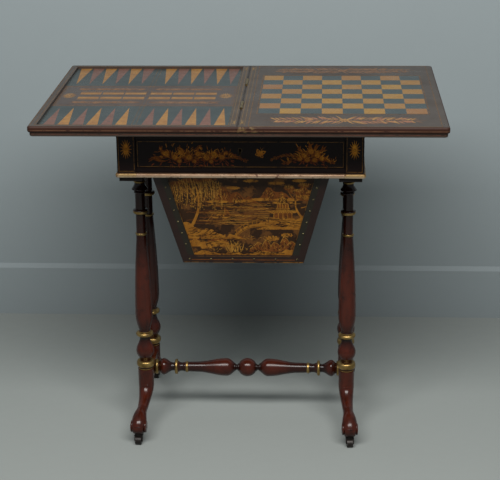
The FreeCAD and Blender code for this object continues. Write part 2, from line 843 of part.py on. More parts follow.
def column_outline():
    """The turned column, from the tenon in the foot up to the tenon in the cleat."""
    turn = Turning(leg_top_height - column_tenon_low)
    turn.step(column_tenon_radius)
    turn.line(column_tenon_radius, leg_top_height)
    turn.step(torus_fillet_radius)
    torus_low = leg_top_height + torus_fillet_height
    turn.line(torus_fillet_radius, torus_low)
    turn.bulge(torus_radius, torus_low + torus_height)
    vase_low = torus_low + torus_height
    turn.step(vase_foot_radius)
    turn.line(vase_foot_radius, vase_low + vase_foot_height)
    turn.settle(vase_radius, vase_low + vase_foot_height + vase_rise)
    vase_top = vase_low + vase_foot_height + vase_height
    turn.ease(ring_neck_radius, vase_top)
    ring_low = vase_top + ring_neck_height
    turn.line(ring_neck_radius, ring_low)
    turn.ridge(ring_radius, ring_low + ring_height)
    swell_low = ring_low + ring_height + swell_foot_height
    turn.line(swell_foot_radius, swell_low)
    turn.settle(swell_radius, swell_low + swell_rise)
    turn.lean(shaft_radius, swell_low + swell_height)
    turn.disc(band_radius, swell_low + swell_height + band_height)
    collar_low = cleat_bottom - collar_drop
    turn.line(shaft_radius, collar_low)
    turn.ridge(collar_radius, collar_low + collar_height)
    flare_low = cleat_bottom - flare_drop
    turn.line(shaft_radius, flare_low)
    turn.disc(flare_bead_radius, flare_low + flare_bead_height)
    turn.line(flare_radius, flare_low + flare_bead_height + flare_height / 2)
    neck_low = cleat_bottom - upper_neck_drop
    turn.line(upper_neck_radius, neck_low)
    turn.disc(flare_bead_radius, cleat_bottom - cap_drop)
    turn.settle(cap_radius, cleat_bottom - abacus_height)
    turn.line(cap_radius, cleat_bottom)
    turn.step(column_tenon_radius)
    turn.line(column_tenon_radius, cleat_bottom + column_tenon_high - glue_fit)
    return turn.solid()


def four_corners(name, shape):
    """Place a rear right piece at all four corners of the base."""
    corners = {"rear_right": shape, "rear_left": mirror_x(shape),
               "front_right": mirror_y(shape), "front_left": mirror_x(mirror_y(shape))}
    for corner, piece in corners.items():
        nodes[name + "_" + corner] = piece


def leg_section(forward, height, radius, slope):
    """One section of the foot, with narrow flats, square to the way that the foot sweeps."""
    circle = Part.Circle(Vec(0, forward, height), slope, radius).toShape()
    return Part.makePolygon(circle.discretize(leg_flats + 1))


def foot_whorl():
    """The rolled toe: a rounded roll between two ears."""
    half = whorl_width / 2
    ear = half - whorl_ear
    turn = Turning(-half)
    turn.step(whorl_face_radius)
    turn.ridge(whorl_radius, -ear)
    turn.bulge(toe_radius, ear)
    turn.ridge(whorl_radius, half)
    return placed(turn.solid(), Vec(0, leg_reach, foot_center_height), ALONG_X)


def swept_foot():
    """One foot at the origin of its column, sweeping towards +Y."""
    head_low = leg_top_height - leg_head_height
    spine = [(0, leg_top_height, leg_head_radius), (0, head_low, leg_head_radius)]
    for forward, rise, grow in sweep_shares:
        spine.append((forward * leg_reach, foot_center_height + rise * (head_low - foot_center_height),
                      ankle_radius + grow * (leg_head_radius - ankle_radius)))
    spine.append((leg_reach, foot_center_height, ankle_radius))
    sections = []
    for index, (forward, height, radius) in enumerate(spine):
        before = spine[max(index - 1, 0)]
        after = spine[min(index + 1, len(spine) - 1)]
        slope = Vec(0, after[0] - before[0], after[1] - before[1])
        if index < 2:
            slope = ALONG_Z * -1
        sections.append(leg_section(forward, height, radius, slope))
    head = rod(leg_head_radius, leg_head_height, Vec(0, 0, head_low), ALONG_Z)
    sweep = Part.makeLoft(sections[1:], True, False)
    foot = head.fuse([sweep, foot_whorl()])
    below = block((-leg_reach, leg_reach), (0, 2 * leg_reach), (0, foot_under_height))
    sleeve = rod(castor_sleeve_radius, castor_sleeve_length, Vec(0, leg_reach, foot_under_height), ALONG_Z)
    tenon = rod(column_tenon_radius + glue_fit, column_tenon_low + glue_fit,
                Vec(0, 0, leg_top_height - column_tenon_low - glue_fit), ALONG_Z)
    return foot.cut([below, sleeve, tenon])


def to_corner(shape):
    """Turn a foot or castor outward by the splay and move it under the rear right column."""
    copy = shape.copy()
    copy.rotate(ORIGIN, ALONG_Z, -leg_splay)
    copy.translate(Vec(column_x, column_y, 0))
    return copy


def rail_tenon(growth):
    """The tenon of the right end rail in the rear foot."""
    half = end_rail_tenon_thick / 2 + growth
    start = column_y - leg_head_radius
    center = end_rail_rise + end_rail_height / 2
    half_height = end_rail_tenon_height / 2 + growth
    depth = (start - overrun, start + end_rail_tenon_length + growth)
    return block((column_x - half, column_x + half), depth,
                 (center - half_height, center + half_height))


def make_columns_and_feet():
    column = column_outline()
    column.translate(Vec(column_x, column_y, 0))
    four_corners("column", column)
    four_corners("foot", to_corner(swept_foot()).cut(rail_tenon(glue_fit)))


def make_end_rails():
    half = end_rail_thick / 2
    rise = (end_rail_rise, end_rail_rise + end_rail_height)
    rail = block((column_x - half, column_x + half), (-column_y, column_y), rise)
    arch_half = column_y - leg_head_radius
    arch_radius = (arch_half ** 2 + end_rail_arch ** 2) / (2 * end_rail_arch)
    arch = rod(arch_radius, end_rail_thick + 2 * overrun,
               Vec(column_x - half - overrun, 0, end_rail_rise + end_rail_arch - arch_radius), ALONG_X)
    seats = [rod(leg_head_radius, leg_top_height, Vec(column_x, y, 0), ALONG_Z)
             for y in (-column_y, column_y)]
    socket = rod(stretcher_tenon_radius + glue_fit, stretcher_tenon_length + overrun + glue_fit,
                 Vec(column_x - half - overrun, 0, stretcher_height), ALONG_X)
    tenon = rail_tenon(0)
    rail = rail.cut([arch, socket] + seats).fuse([tenon, mirror_y(tenon)]).removeSplitter()
    nodes["end_rail_right"] = rail
    nodes["end_rail_left"] = mirror_x(rail)


def stretcher_half(turn, ends):
    """Outline of one half of the stretcher, from the middle outwards."""
    turn.line(waist_radius, waist_place)
    turn.ease(baluster_radius, baluster_place)
    turn.lean(baluster_thin_radius, ends - fillet_inset - fillet_width / 2)
    turn.disc(fillet_radius, ends - fillet_inset + fillet_width / 2)
    turn.line(baluster_thin_radius, ends - disc_inset - disc_width / 2)
    turn.ridge(disc_radius, ends - disc_inset + disc_width / 2)
    turn.line(bell_neck_radius, ends - bell_neck_inset)
    turn.ease(bell_radius, ends - bell_inset)
    ring_start = ends - end_ring_width
    turn.lean(end_neck_radius, ring_start - end_neck_width)
    turn.line(end_neck_radius, ring_start)
    turn.ridge(end_ring_radius, ends)


def make_stretcher():
    ends = column_x - end_rail_thick / 2
    turn = Turning(0)
    turn.step(ball_radius)
    turn.lean(waist_radius, ball_half_width)
    stretcher_half(turn, ends)
    turn.step(stretcher_tenon_radius)
    turn.line(stretcher_tenon_radius, ends + stretcher_tenon_length)
    half = placed(turn.solid(), Vec(0, 0, stretcher_height), ALONG_X)
    nodes["stretcher"] = half.fuse(mirror_x(half)).removeSplitter()


def castor_fork():
    """Stem, crown, two arms and the riveted axle. The wheel trails towards +Y."""
    stem_at = Vec(0, leg_reach, 0)
    crown_low = 2 * castor_wheel_radius + castor_wheel_gap
    crown_top = crown_low + castor_crown_height
    crown = rod(castor_crown_radius, castor_crown_height, stem_at + Vec(0, 0, crown_low), ALONG_Z)
    stem = rod(castor_stem_radius, castor_stem_length, stem_at + Vec(0, 0, crown_top), ALONG_Z)
    inner = castor_wheel_width / 2 + castor_side_gap
    outer = inner + castor_arm_thick
    axle_y = leg_reach + castor_trail
    half = castor_arm_width / 2
    corners = [(leg_reach - half, crown_top), (axle_y, crown_top), (axle_y + half, castor_wheel_radius),
               (axle_y, castor_wheel_radius - half), (axle_y - half, castor_wheel_radius)]
    face = flat_face([Vec(inner, y, z) for y, z in corners])
    arm = face.extrude(Vec(outer - inner, 0, 0))
    bridge = block((-outer, outer), (leg_reach - half, axle_y), (crown_low, crown_top))
    axle = rod(castor_axle_radius, 2 * outer, Vec(-outer, axle_y, castor_wheel_radius), ALONG_X)
    fork = crown.fuse([stem, arm, mirror_x(arm), bridge]).cut(axle).removeSplitter()
    return group([fork, axle])


def castor_wheel():
    half = castor_wheel_width / 2
    disc = rod(castor_wheel_radius, castor_wheel_width, Vec(0, 0, -half), ALONG_Z)
    bore = rod(castor_axle_radius + castor_axle_clear, castor_wheel_width + 2 * overrun,
               Vec(0, 0, -half - overrun), ALONG_Z)
    wheel = disc.cut(bore)
    return placed(wheel, Vec(0, leg_reach + castor_trail, castor_wheel_radius), ALONG_X)


def castor_socket():
    """Plate and sleeve let into the underside of a foot."""
    plate_low = 2 * castor_wheel_radius + castor_wheel_gap + castor_crown_height + castor_socket_gap
    plate = rod(castor_socket_radius, foot_under_height - plate_low, Vec(0, leg_reach, plate_low), ALONG_Z)
    sleeve = rod(castor_sleeve_radius, castor_sleeve_length, Vec(0, leg_reach, foot_under_height), ALONG_Z)
    bore = rod(castor_stem_radius + castor_stem_clear, castor_stem_length + castor_socket_gap + 2 * overrun,
               Vec(0, leg_reach, plate_low - overrun), ALONG_Z)
    return plate.fuse(sleeve).removeSplitter().cut(bore)


def make_castors():
    four_corners("castor_fork", to_corner(castor_fork()))
    four_corners("castor_wheel", to_corner(castor_wheel()))
    socket = to_corner(castor_socket())
    right = [socket, mirror_y(socket)]
    nodes["castor_sockets"] = group(right + [mirror_x(piece) for piece in right])


def write_nodes():
    os.makedirs("parts", exist_ok=True)
    for name, shape in nodes.items():
        shape.exportStep(os.path.join("parts", name + ".step"))


make_hinges()
make_chess_leaf()
make_tray_leaf()
make_pivot_nut()
make_frieze()
make_pivot_board()
make_drawer_supports()
make_base_frame()
make_drawer()
make_work_box()
make_columns_and_feet()
make_end_rails()
make_stretcher()
make_castors()
write_nodes()
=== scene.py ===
import bpy
import bmesh
import random
from math import asin, atan2, copysign, cos, degrees, exp, hypot, pi, radians, sin, sqrt
from mathutils import Matrix, Vector


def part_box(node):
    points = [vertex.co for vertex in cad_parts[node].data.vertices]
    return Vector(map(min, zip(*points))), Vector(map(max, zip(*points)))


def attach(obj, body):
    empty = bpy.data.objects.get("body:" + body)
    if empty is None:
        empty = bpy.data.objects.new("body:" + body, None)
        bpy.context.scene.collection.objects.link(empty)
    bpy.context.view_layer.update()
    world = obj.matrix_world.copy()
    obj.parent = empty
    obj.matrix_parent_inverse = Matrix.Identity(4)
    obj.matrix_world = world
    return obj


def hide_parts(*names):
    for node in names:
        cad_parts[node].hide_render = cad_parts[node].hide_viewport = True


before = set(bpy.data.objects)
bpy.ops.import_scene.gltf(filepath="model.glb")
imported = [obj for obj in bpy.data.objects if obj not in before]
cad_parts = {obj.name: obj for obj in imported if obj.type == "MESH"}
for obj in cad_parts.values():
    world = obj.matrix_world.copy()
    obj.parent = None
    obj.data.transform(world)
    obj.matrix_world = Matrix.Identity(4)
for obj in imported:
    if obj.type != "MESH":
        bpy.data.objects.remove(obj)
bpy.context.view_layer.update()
scene = bpy.context.scene
MM = 0.001
X, Y, Z = Vector((1, 0, 0)), Vector((0, 1, 0)), Vector((0, 0, 1))

# Sizes in millimetres, as in the part's source
leaf_width = 408.0
leaf_half = 275.0
leaf_low = 709.0
leaf_top = 730.0
leaf_round = 7.0
leaf_step = 3.5
leaf_joint_gap = 0.3
tray_floor = 725.0
square = 42.0
board_x, board_y, board = 36.0, -168.0, 8 * square
base_half_x = 251.0
base_half_y = 193.0
box_low = 395.3
box_height = 207.0
box_low_half_x = 126.0
box_low_half_y = 112.0
box_flare_x = 53.0
box_flare_y = 60.0
box_border_thick = 2.0
column_x = 219.0
column_y = 66.0
leg_top = 131.5
leg_radius = 16.9
leg_splay = 4.0
toe_reach = 99.0
toe_height = 38.0
foot_low = 23.0
stretcher_height = 106.0
corners = {"rear_right": (1, 1), "rear_left": (-1, 1), "front_right": (1, -1), "front_left": (-1, -1)}
sides_of = (("left", -1), ("right", 1))


# Materials

class Nodes:
    """The nodes of a material or a world. Colours are linear."""

    def __init__(self, owner):
        owner.use_nodes = True
        self.tree = owner.node_tree
        self.tree.nodes.clear()

    def put(self, socket, value):
        if isinstance(value, bpy.types.NodeSocket):
            self.tree.links.new(value, socket)
        elif isinstance(value, tuple) and len(value) == 3 and len(socket.default_value) == 4:
            socket.default_value = (*value, 1.0)
        else:
            socket.default_value = value

    def add(self, kind, inputs=(), **settings):
        """A node with its settings made and its inputs filled."""
        node = self.tree.nodes.new(kind)
        for key, value in settings.items():
            setattr(node, key, value)
        for key, value in dict(inputs).items():
            self.put(node.inputs[key], value)
        return node


class Graph(Nodes):
    """A material that grows by short calls. Places and distances in it are in metres."""

    def __init__(self, name):
        self.material = bpy.data.materials.new(name)
        super().__init__(self.material)
        self.out = self.add("ShaderNodeOutputMaterial")
        self.shader = self.add("ShaderNodeBsdfPrincipled")
        self.put(self.out.inputs[0], self.shader.outputs[0])
        self.place = self.add("ShaderNodeTexCoord").outputs["Object"]

    def spread(self, stretch):
        return self.add("ShaderNodeMapping", {"Vector": self.place, "Scale": stretch}).outputs[0]

    def noise(self, scale, detail=4.0, rough=0.55, twist=0.0, vector=None):
        inputs = {"Vector": vector or self.place, "Scale": scale, "Detail": detail, "Roughness": rough,
                  "Distortion": twist}
        return self.add("ShaderNodeTexNoise", inputs).outputs[0]

    def cracks(self, scale, width):
        """Zero along a net of fine cracks and one between them."""
        net = self.add("ShaderNodeTexVoronoi", {"Vector": self.spread((1.0, 1.7, 1.0)), "Scale": scale},
                       feature="DISTANCE_TO_EDGE")
        return self.span(net.outputs[0], 0.0, width)

    def span(self, value, low, high, to_low=0.0, to_high=1.0):
        inputs = dict(enumerate((value, low, high, to_low, to_high)))
        return self.add("ShaderNodeMapRange", inputs).outputs[0]

    def math(self, kind, a, b=0.0):
        return self.add("ShaderNodeMath", {0: a, 1: b}, operation=kind).outputs[0]

    def past(self, value, distance):
        """How far a coordinate lies beyond a distance in millimetres, on either side of zero."""
        return self.math("SUBTRACT", self.math("ABSOLUTE", value), distance * MM)

    def length(self, a, b):
        return self.math("SQRT", self.math("ADD", self.math("MULTIPLY", a, a), self.math("MULTIPLY", b, b)))

    def mix(self, share, a, b):
        return self.add("ShaderNodeMix", {0: share, 6: a, 7: b}, data_type="RGBA").outputs[2]

    def axes(self):
        return self.add("ShaderNodeSeparateXYZ", {0: self.place}).outputs

    def bump(self, height, depth, strength=1.0, below=None):
        inputs = {"Strength": strength, "Distance": depth * MM, "Height": height}
        if below is not None:
            inputs["Normal"] = below
        return self.add("ShaderNodeBump", inputs).outputs[0]

    def set(self, **values):
        names = {"colour": "Base Color", "metal": "Metallic", "rough": "Roughness", "normal": "Normal",
                 "level": "Specular IOR Level"}
        for key, value in values.items():
            self.put(self.shader.inputs[names[key]], value)
        return self.material


def worn(g, colour, under, share, scale=26.0):
    """Patches where the top colour has rubbed through to another."""
    edge = 0.72 - 0.34 * share
    return g.mix(g.span(g.noise(scale, 7.0, 0.68), edge, edge + 0.07), colour, under)


def lacquer(name, dark, light, under, share, level, rough=(0.35, 0.55)):
    """Mottled lacquer with a net of fine cracks, rubbed through in places."""
    g = Graph(name)
    base = g.mix(g.noise(34.0, 7.0, 0.62, 0.4), dark, light)
    base = g.mix(g.span(g.noise(430.0, 3.0), 0.52, 0.75, 0.0, 0.35), base, light)
    base = worn(g, base, under, share)
    smear = g.span(g.noise(9.0, 6.0, 0.6), 0.3, 0.7, *rough)
    normal = g.bump(g.noise(900.0, 3.0, 0.6), 0.05, 0.35)
    normal = g.bump(g.cracks(150.0, 0.035), 0.04, 0.35, normal)
    normal = g.bump(g.noise(38.0, 3.0), 0.35, 0.25, normal)
    return g.set(colour=base, rough=smear, normal=normal, level=level)


def gilt(name, bright, dull, under, share, metal, level, rough=(0.35, 0.55)):
    """Gold leaf or gold paint, bright and dull in patches, with what is under it showing through."""
    g = Graph(name)
    base = g.mix(g.span(g.noise(60.0, 7.0, 0.65), 0.32, 0.66), dull, bright)
    spots = g.span(g.noise(95.0, 6.0, 0.7), 0.70 - 0.3 * share, 0.78 - 0.3 * share)
    base = g.mix(spots, base, under)
    shine = g.span(spots, 0.0, 1.0, metal, metal * 0.35)
    smear = g.span(g.noise(140.0, 5.0), 0.3, 0.7, *rough)
    normal = g.bump(g.noise(700.0, 4.0), 0.06, 0.5)
    normal = g.bump(g.noise(120.0, 3.0), 0.2, 0.3, normal)
    return g.set(colour=base, metal=shine, rough=smear, normal=normal, level=level)


def leg_lacquer():
    """Deep red lacquer over turned wood, with painted shade that makes it almost black in the narrow parts,
    under the top and low on the toes.
    """
    g = Graph("leg_lacquer_red_with_painted_shade")
    x, y, z = g.axes()
    streaks = g.noise(34.0, 7.0, 0.62, 0.4, g.spread((1.6, 1.6, 0.22)))
    base = g.mix(streaks, (0.0095, 0.002, 0.001), (0.082, 0.0128, 0.0048))
    base = g.mix(g.span(g.noise(60.0, 6.0, 0.7), 0.52, 0.72, 0.0, 0.75), base, (0.0085, 0.0028, 0.0022))
    # Painted shade in the grooves and narrow necks of the columns and the stretcher, weaker above 0.46 m.
    from_column = g.length(g.past(x, column_x), g.past(y, column_y))
    from_stretcher = g.length(y, g.math("SUBTRACT", z, stretcher_height * MM))
    thin = g.span(g.math("MINIMUM", from_column, from_stretcher), 0.009, 0.017, 0.92, 0.0)
    thin = g.math("MULTIPLY", thin, g.span(z, 0.40, 0.46, 1.0, 0.45))
    base = g.mix(thin, base, (0.0075, 0.0024, 0.0018))
    # Painted shade under the top, darkening the upper columns.
    base = g.mix(g.span(z, 0.36, 0.56, 0.0, 0.72), base, (0.006, 0.0028, 0.0026))
    # Painted shade on the lower half of each rolled toe.
    base = g.mix(g.span(z, 0.023, 0.040, 0.75, 0.0), base, (0.008, 0.006, 0.004))
    base = g.mix(g.span(g.noise(210.0, 5.0, 0.7), 0.66, 0.72, 0.0, 0.5), base, (0.10, 0.026, 0.012))
    smear = g.span(g.noise(12.0, 6.0), 0.3, 0.7, 0.17, 0.27)
    normal = g.bump(g.noise(900.0, 3.0), 0.03, 0.3)
    normal = g.bump(g.noise(60.0, 3.0), 0.18, 0.25, normal)
    return g.set(colour=base, rough=smear, level=0.33, normal=normal)


def wood(name, dark, light, along):
    g = Graph(name)
    stretch = tuple(6.0 if axis == along else 90.0 for axis in "xyz")
    grain = g.noise(1.0, 6.0, 0.6, 1.2, g.spread(stretch))
    pores = g.noise(9.0, 3.0, 0.7, 0.0, g.spread(stretch))
    base = g.mix(g.span(grain, 0.3, 0.7), dark, light)
    base = g.mix(g.span(pores, 0.6, 0.75, 0.0, 0.6), base, dark)
    smear = g.span(grain, 0.3, 0.7, 0.45, 0.7)
    return g.set(colour=base, rough=smear, normal=g.bump(pores, 0.12, 0.6), level=0.4)


def metal(name, light, dark, rough=(0.25, 0.5), shine=1.0):
    g = Graph(name)
    base = g.mix(g.span(g.noise(80.0, 7.0, 0.7), 0.35, 0.7), light, dark)
    smear = g.span(g.noise(210.0, 5.0), 0.3, 0.7, *rough)
    normal = g.bump(g.noise(1400.0, 3.0), 0.03, 0.4)
    return g.set(colour=base, metal=shine, rough=smear, normal=g.bump(g.noise(160.0), 0.12, 0.3, normal))


def tinted_squares():
    """Gold squares, each a little different in tone, as old japanning is."""
    g = Graph("chess_gold")
    corner, size = (board_x * MM, board_y * MM, 0.0), (square * MM, square * MM, 1.0)
    shift = g.add("ShaderNodeVectorMath", {0: g.place, 1: corner}, operation="SUBTRACT")
    count = g.add("ShaderNodeVectorMath", {0: shift.outputs[0], 1: size}, operation="DIVIDE")
    whole = g.add("ShaderNodeVectorMath", {0: count.outputs[0]}, operation="FLOOR")
    tone = g.add("ShaderNodeTexWhiteNoise", {"Vector": whole.outputs[0]}, noise_dimensions="2D")
    base = g.mix(tone.outputs[0], (0.23, 0.106, 0.034), (0.31, 0.172, 0.026))
    base = g.mix(g.span(g.noise(120.0, 6.0, 0.65), 0.35, 0.7, 0.0, 0.55), base, (0.185, 0.08, 0.024))
    base = worn(g, base, (0.10, 0.055, 0.035), 0.16, 70.0)
    smear = g.span(g.noise(30.0, 5.0), 0.3, 0.7, 0.24, 0.40)
    return g.set(colour=base, rough=smear, metal=0.05, level=0.32, normal=g.bump(g.noise(600.0), 0.05, 0.4))


def leaf_lacquer():
    """The leaves: brown lacquer on top, a redder and more rubbed lacquer round the moulded edge."""
    g = Graph("leaf_lacquer_with_edge")
    x, y, z = g.axes()
    out = g.math("MAXIMUM", g.past(x, leaf_width - 3.0), g.past(y, leaf_half - 3.0))
    below = g.math("SUBTRACT", (leaf_low + 0.5) * MM, z)
    rim = g.span(g.math("MAXIMUM", out, below), -0.0006, 0.0008)
    flat = g.mix(g.noise(30.0, 7.0, 0.62, 0.4), (0.03, 0.02, 0.0155), (0.062, 0.042, 0.031))
    flat = worn(g, flat, (0.075, 0.028, 0.018), 0.12)
    streaks = g.noise(46.0, 7.0, 0.65, 0.5, g.spread((0.35, 0.35, 1.6)))
    edge = g.mix(streaks, (0.014, 0.0055, 0.004), (0.05, 0.018, 0.01))
    edge = worn(g, edge, (0.10, 0.018, 0.008), 0.16, 60.0)
    edge = g.mix(g.span(g.noise(150.0, 6.0, 0.7), 0.66, 0.74), edge, (0.12, 0.066, 0.034))
    near_joint = g.span(g.math("ABSOLUTE", g.math("SUBTRACT", x, 0.020)), 0.014, 0.030, 1.0, 0.0)
    chip = g.math("MULTIPLY", near_joint, g.span(g.noise(110.0, 6.0, 0.7, 0.6), 0.50, 0.56))
    edge = g.mix(chip, edge, (0.10, 0.06, 0.024))
    smear = g.span(g.noise(9.0, 6.0, 0.6), 0.3, 0.7, 0.24, 0.40)
    smear = g.math("MAXIMUM", smear, g.math("MULTIPLY", rim, 0.52))
    normal = g.bump(g.noise(700.0, 3.0), 0.05, 0.3)
    normal = g.bump(g.cracks(120.0, 0.03), 0.03, 0.3, normal)
    normal = g.bump(g.noise(30.0, 3.0), 0.35, 0.2, normal)
    return g.set(colour=g.mix(rim, flat, edge), rough=smear, normal=normal,
                 level=g.span(rim, 0.0, 1.0, 0.32, 0.18))


def moulding_gilt():
    """The base frame: gilt on its rounded outer edge, black lacquer on what faces up, down and in."""
    g = Graph("base_moulding")
    x, y, z = g.axes()
    share = g.span(g.math("MAXIMUM", g.past(x, base_half_x), g.past(y, base_half_y)), -0.0064, -0.0056)
    along = g.math("ABSOLUTE", x)
    gold = g.mix(g.span(g.noise(60.0, 7.0, 0.65), 0.32, 0.66), (0.30, 0.17, 0.09), (0.46, 0.31, 0.205))
    gold = g.mix(g.span(along, 0.150, 0.207, 0.0, 0.35), gold, (0.16, 0.078, 0.034))
    gold = g.mix(g.span(along, 0.2078, 0.2090, 0.0, 0.75), gold, (0.36, 0.235, 0.08))
    # Paler cream low on the rounded edge, partly the worn gilt's own tone and partly a painted highlight
    # where the light catches it; darker along the top of the edge.
    gold = g.mix(g.span(z, 0.6045, 0.6080, 0.55, 0.0), gold, (0.74, 0.58, 0.43))
    gold = g.mix(g.span(z, 0.6095, 0.6115, 0.0, 0.6), gold, (0.16, 0.075, 0.034))
    spots = g.span(g.noise(80.0, 6.0, 0.7), 0.57, 0.65)
    gold = g.mix(spots, gold, (0.095, 0.032, 0.014))
    black = g.mix(g.noise(40.0, 6.0), (0.008, 0.006, 0.006), (0.018, 0.012, 0.01))
    shine = g.math("MULTIPLY", share, g.span(spots, 0.0, 1.0, 0.55, 0.2))
    smear = g.span(g.noise(150.0, 5.0), 0.3, 0.7, 0.42, 0.58)
    return g.set(colour=g.mix(share, black, gold), metal=shine, rough=smear,
                 normal=g.bump(g.noise(700.0, 4.0), 0.05, 0.4))


def box_walls():
    """Walls of the work box: worn lacquer outside, plain wood inside."""
    g = Graph("work_box_walls_finish")
    x, y, z = g.axes()
    rise = g.math("SUBTRACT", z, box_low * MM)

    def beyond(value, half, flare):
        slant = g.math("ADD", g.math("MULTIPLY", rise, flare / box_height), half * MM)
        return g.math("SUBTRACT", g.math("ABSOLUTE", value), slant)

    side, front = beyond(x, box_low_half_x, box_flare_x), beyond(y, box_low_half_y, box_flare_y)
    inner = g.span(g.math("MAXIMUM", side, front), -0.0030, -0.0040)
    outside = g.mix(g.noise(36.0, 7.0, 0.62, 0.4), (0.01, 0.0055, 0.0045), (0.03, 0.012, 0.008))
    outside = worn(g, outside, (0.055, 0.02, 0.01), 0.15)
    grain = g.noise(1.0, 6.0, 0.6, 1.2, g.spread((60.0, 60.0, 6.0)))
    plain = g.mix(g.span(grain, 0.3, 0.7), (0.16, 0.075, 0.035), (0.30, 0.17, 0.085))
    return g.set(colour=g.mix(inner, outside, plain), rough=g.span(inner, 0.0, 1.0, 0.36, 0.6), level=0.4,
                 normal=g.bump(g.noise(500.0, 4.0), 0.08, 0.5))


satin, glossy, soft = (0.3, 0.5), (0.24, 0.38), (0.3, 0.45)
strip_brown = lacquer("joint_strip_lacquer", (0.036, 0.022, 0.015), (0.066, 0.042, 0.027),
                      (0.026, 0.015, 0.011), 0.3, 0.3, (0.26, 0.40))
field_blue = lacquer("point_field_lacquer", (0.016, 0.024, 0.026), (0.036, 0.046, 0.046),
                     (0.05, 0.04, 0.034), 0.25, 0.36, glossy)
band_brown = lacquer("middle_band_lacquer", (0.036, 0.024, 0.021), (0.07, 0.048, 0.041),
                     (0.07, 0.028, 0.022), 0.2, 0.36, glossy)
chess_dark = lacquer("chess_dark", (0.017, 0.03, 0.034), (0.04, 0.052, 0.055), (0.03, 0.02, 0.03),
                     0.2, 0.4, (0.22, 0.36))
frieze_black = lacquer("frieze_lacquer_black", (0.005, 0.002, 0.002), (0.011, 0.0042, 0.0036),
                       (0.026, 0.0062, 0.003), 0.18, 0.16, (0.28, 0.44))
# The end cleats under the top: black lacquer made darker than the frieze's own, as painted shade, with little
# sheen.
cleat_black_shaded = lacquer("cleat_lacquer_painted_shade", (0.003, 0.002, 0.002), (0.008, 0.005, 0.0046),
                      (0.012, 0.006, 0.004), 0.2, 0.15, (0.5, 0.7))
border_dark = lacquer("box_border_inner_band", (0.0125, 0.0112, 0.008), (0.026, 0.0215, 0.0145),
                      (0.034, 0.016, 0.009), 0.2, 0.2, (0.34, 0.55))
border_red = lacquer("box_border_lacquer", (0.009, 0.004, 0.0032), (0.026, 0.0095, 0.0065),
                     (0.055, 0.018, 0.01), 0.16, 0.3, (0.34, 0.55))
picture_dark = lacquer("picture_dark", (0.012, 0.0052, 0.0032), (0.03, 0.012, 0.006),
                       (0.07, 0.026, 0.009), 0.3, 0.12)
picture_ground = lacquer("picture_ground", (0.015, 0.0072, 0.0046), (0.046, 0.02, 0.0075),
                         (0.12, 0.048, 0.012), 0.62, 0.15)
picture_gold = gilt("picture_gold", (0.375, 0.16, 0.019), (0.21, 0.076, 0.01), (0.055, 0.02, 0.007),
                    0.52, 0.08, 0.15)
picture_rust = gilt("picture_rust", (0.19, 0.062, 0.012), (0.1, 0.03, 0.007), (0.03, 0.012, 0.006),
                    0.5, 0.0, 0.12)
picture_light = gilt("picture_light", (0.43, 0.215, 0.034), (0.26, 0.112, 0.016), (0.07, 0.028, 0.009),
                     0.45, 0.1, 0.15)
gilt_ring = gilt("gilt_turned_rings", (0.4, 0.265, 0.095), (0.185, 0.112, 0.032), (0.05, 0.022, 0.009),
                 0.36, 0.92, 0.5, (0.26, 0.44))
gold_paint = gilt("ornament_gold", (0.66, 0.27, 0.022), (0.34, 0.105, 0.009), (0.06, 0.018, 0.006),
                  0.34, 0.1, 0.15)
gold_rust = gilt("ornament_rust", (0.26, 0.055, 0.01), (0.12, 0.026, 0.006), (0.024, 0.008, 0.005),
                 0.36, 0.0, 0.12)
gold_dull = gilt("ornament_gold_dull", (0.34, 0.105, 0.01), (0.15, 0.042, 0.006), (0.022, 0.009, 0.005),
                 0.36, 0.05, 0.12)
gold_line = gilt("line_gold", (0.26, 0.125, 0.026), (0.12, 0.05, 0.01), (0.03, 0.014, 0.007),
                 0.55, 0.25, 0.2, satin)
gold_bright = gilt("joint_line_gold", (0.27, 0.165, 0.06), (0.15, 0.088, 0.032), (0.06, 0.036, 0.02),
                   0.5, 0.25, 0.25, satin)
edge_worn = gilt("edge_line_worn", (0.17, 0.088, 0.046), (0.085, 0.04, 0.022), (0.03, 0.013, 0.009),
                 0.55, 0.1, 0.2)
edge_faint = gilt("edge_line_faint", (0.095, 0.03, 0.016), (0.05, 0.018, 0.011), (0.02, 0.009, 0.007),
                  0.6, 0.0, 0.2)
point_gold = gilt("point_gold", (0.31, 0.155, 0.036), (0.205, 0.09, 0.026), (0.095, 0.056, 0.034),
                  0.28, 0.05, 0.3, (0.28, 0.42))
point_red = gilt("point_red", (0.158, 0.07, 0.05), (0.105, 0.052, 0.04), (0.048, 0.042, 0.036),
                 0.34, 0.0, 0.3, (0.28, 0.42))
spray_salmon = gilt("spray_salmon", (0.28, 0.122, 0.062), (0.17, 0.07, 0.04), (0.08, 0.04, 0.03),
                    0.26, 0.05, 0.3, soft)
spray_gold = gilt("spray_gold", (0.35, 0.19, 0.056), (0.22, 0.108, 0.036), (0.1, 0.052, 0.028),
                  0.26, 0.08, 0.3, soft)
spray_dull = gilt("spray_dull", (0.2, 0.1, 0.044), (0.115, 0.056, 0.03), (0.06, 0.036, 0.027),
                  0.4, 0.05, 0.3, soft)
brass = metal("old_brass", (0.42, 0.30, 0.12), (0.16, 0.10, 0.04))
stud_brass = metal("stud_brass", (0.15, 0.125, 0.06), (0.045, 0.034, 0.018), (0.34, 0.55))
liner_bronze = metal("keyhole_bronze", (0.06, 0.038, 0.018), (0.016, 0.01, 0.006), (0.35, 0.55), 0.8)
steel = metal("old_steel", (0.30, 0.29, 0.28), (0.10, 0.085, 0.07))
castor_black = metal("castor_bronze", (0.026, 0.02, 0.017), (0.007, 0.005, 0.004), (0.34, 0.55), 0.5)
carcass_wood = wood("carcass_wood", (0.13, 0.06, 0.025), (0.26, 0.14, 0.065), "x")
drawer_wood = wood("drawer_wood", (0.20, 0.11, 0.05), (0.38, 0.23, 0.12), "y")
leg_red_shaded = leg_lacquer()
chess_gold = tinted_squares()

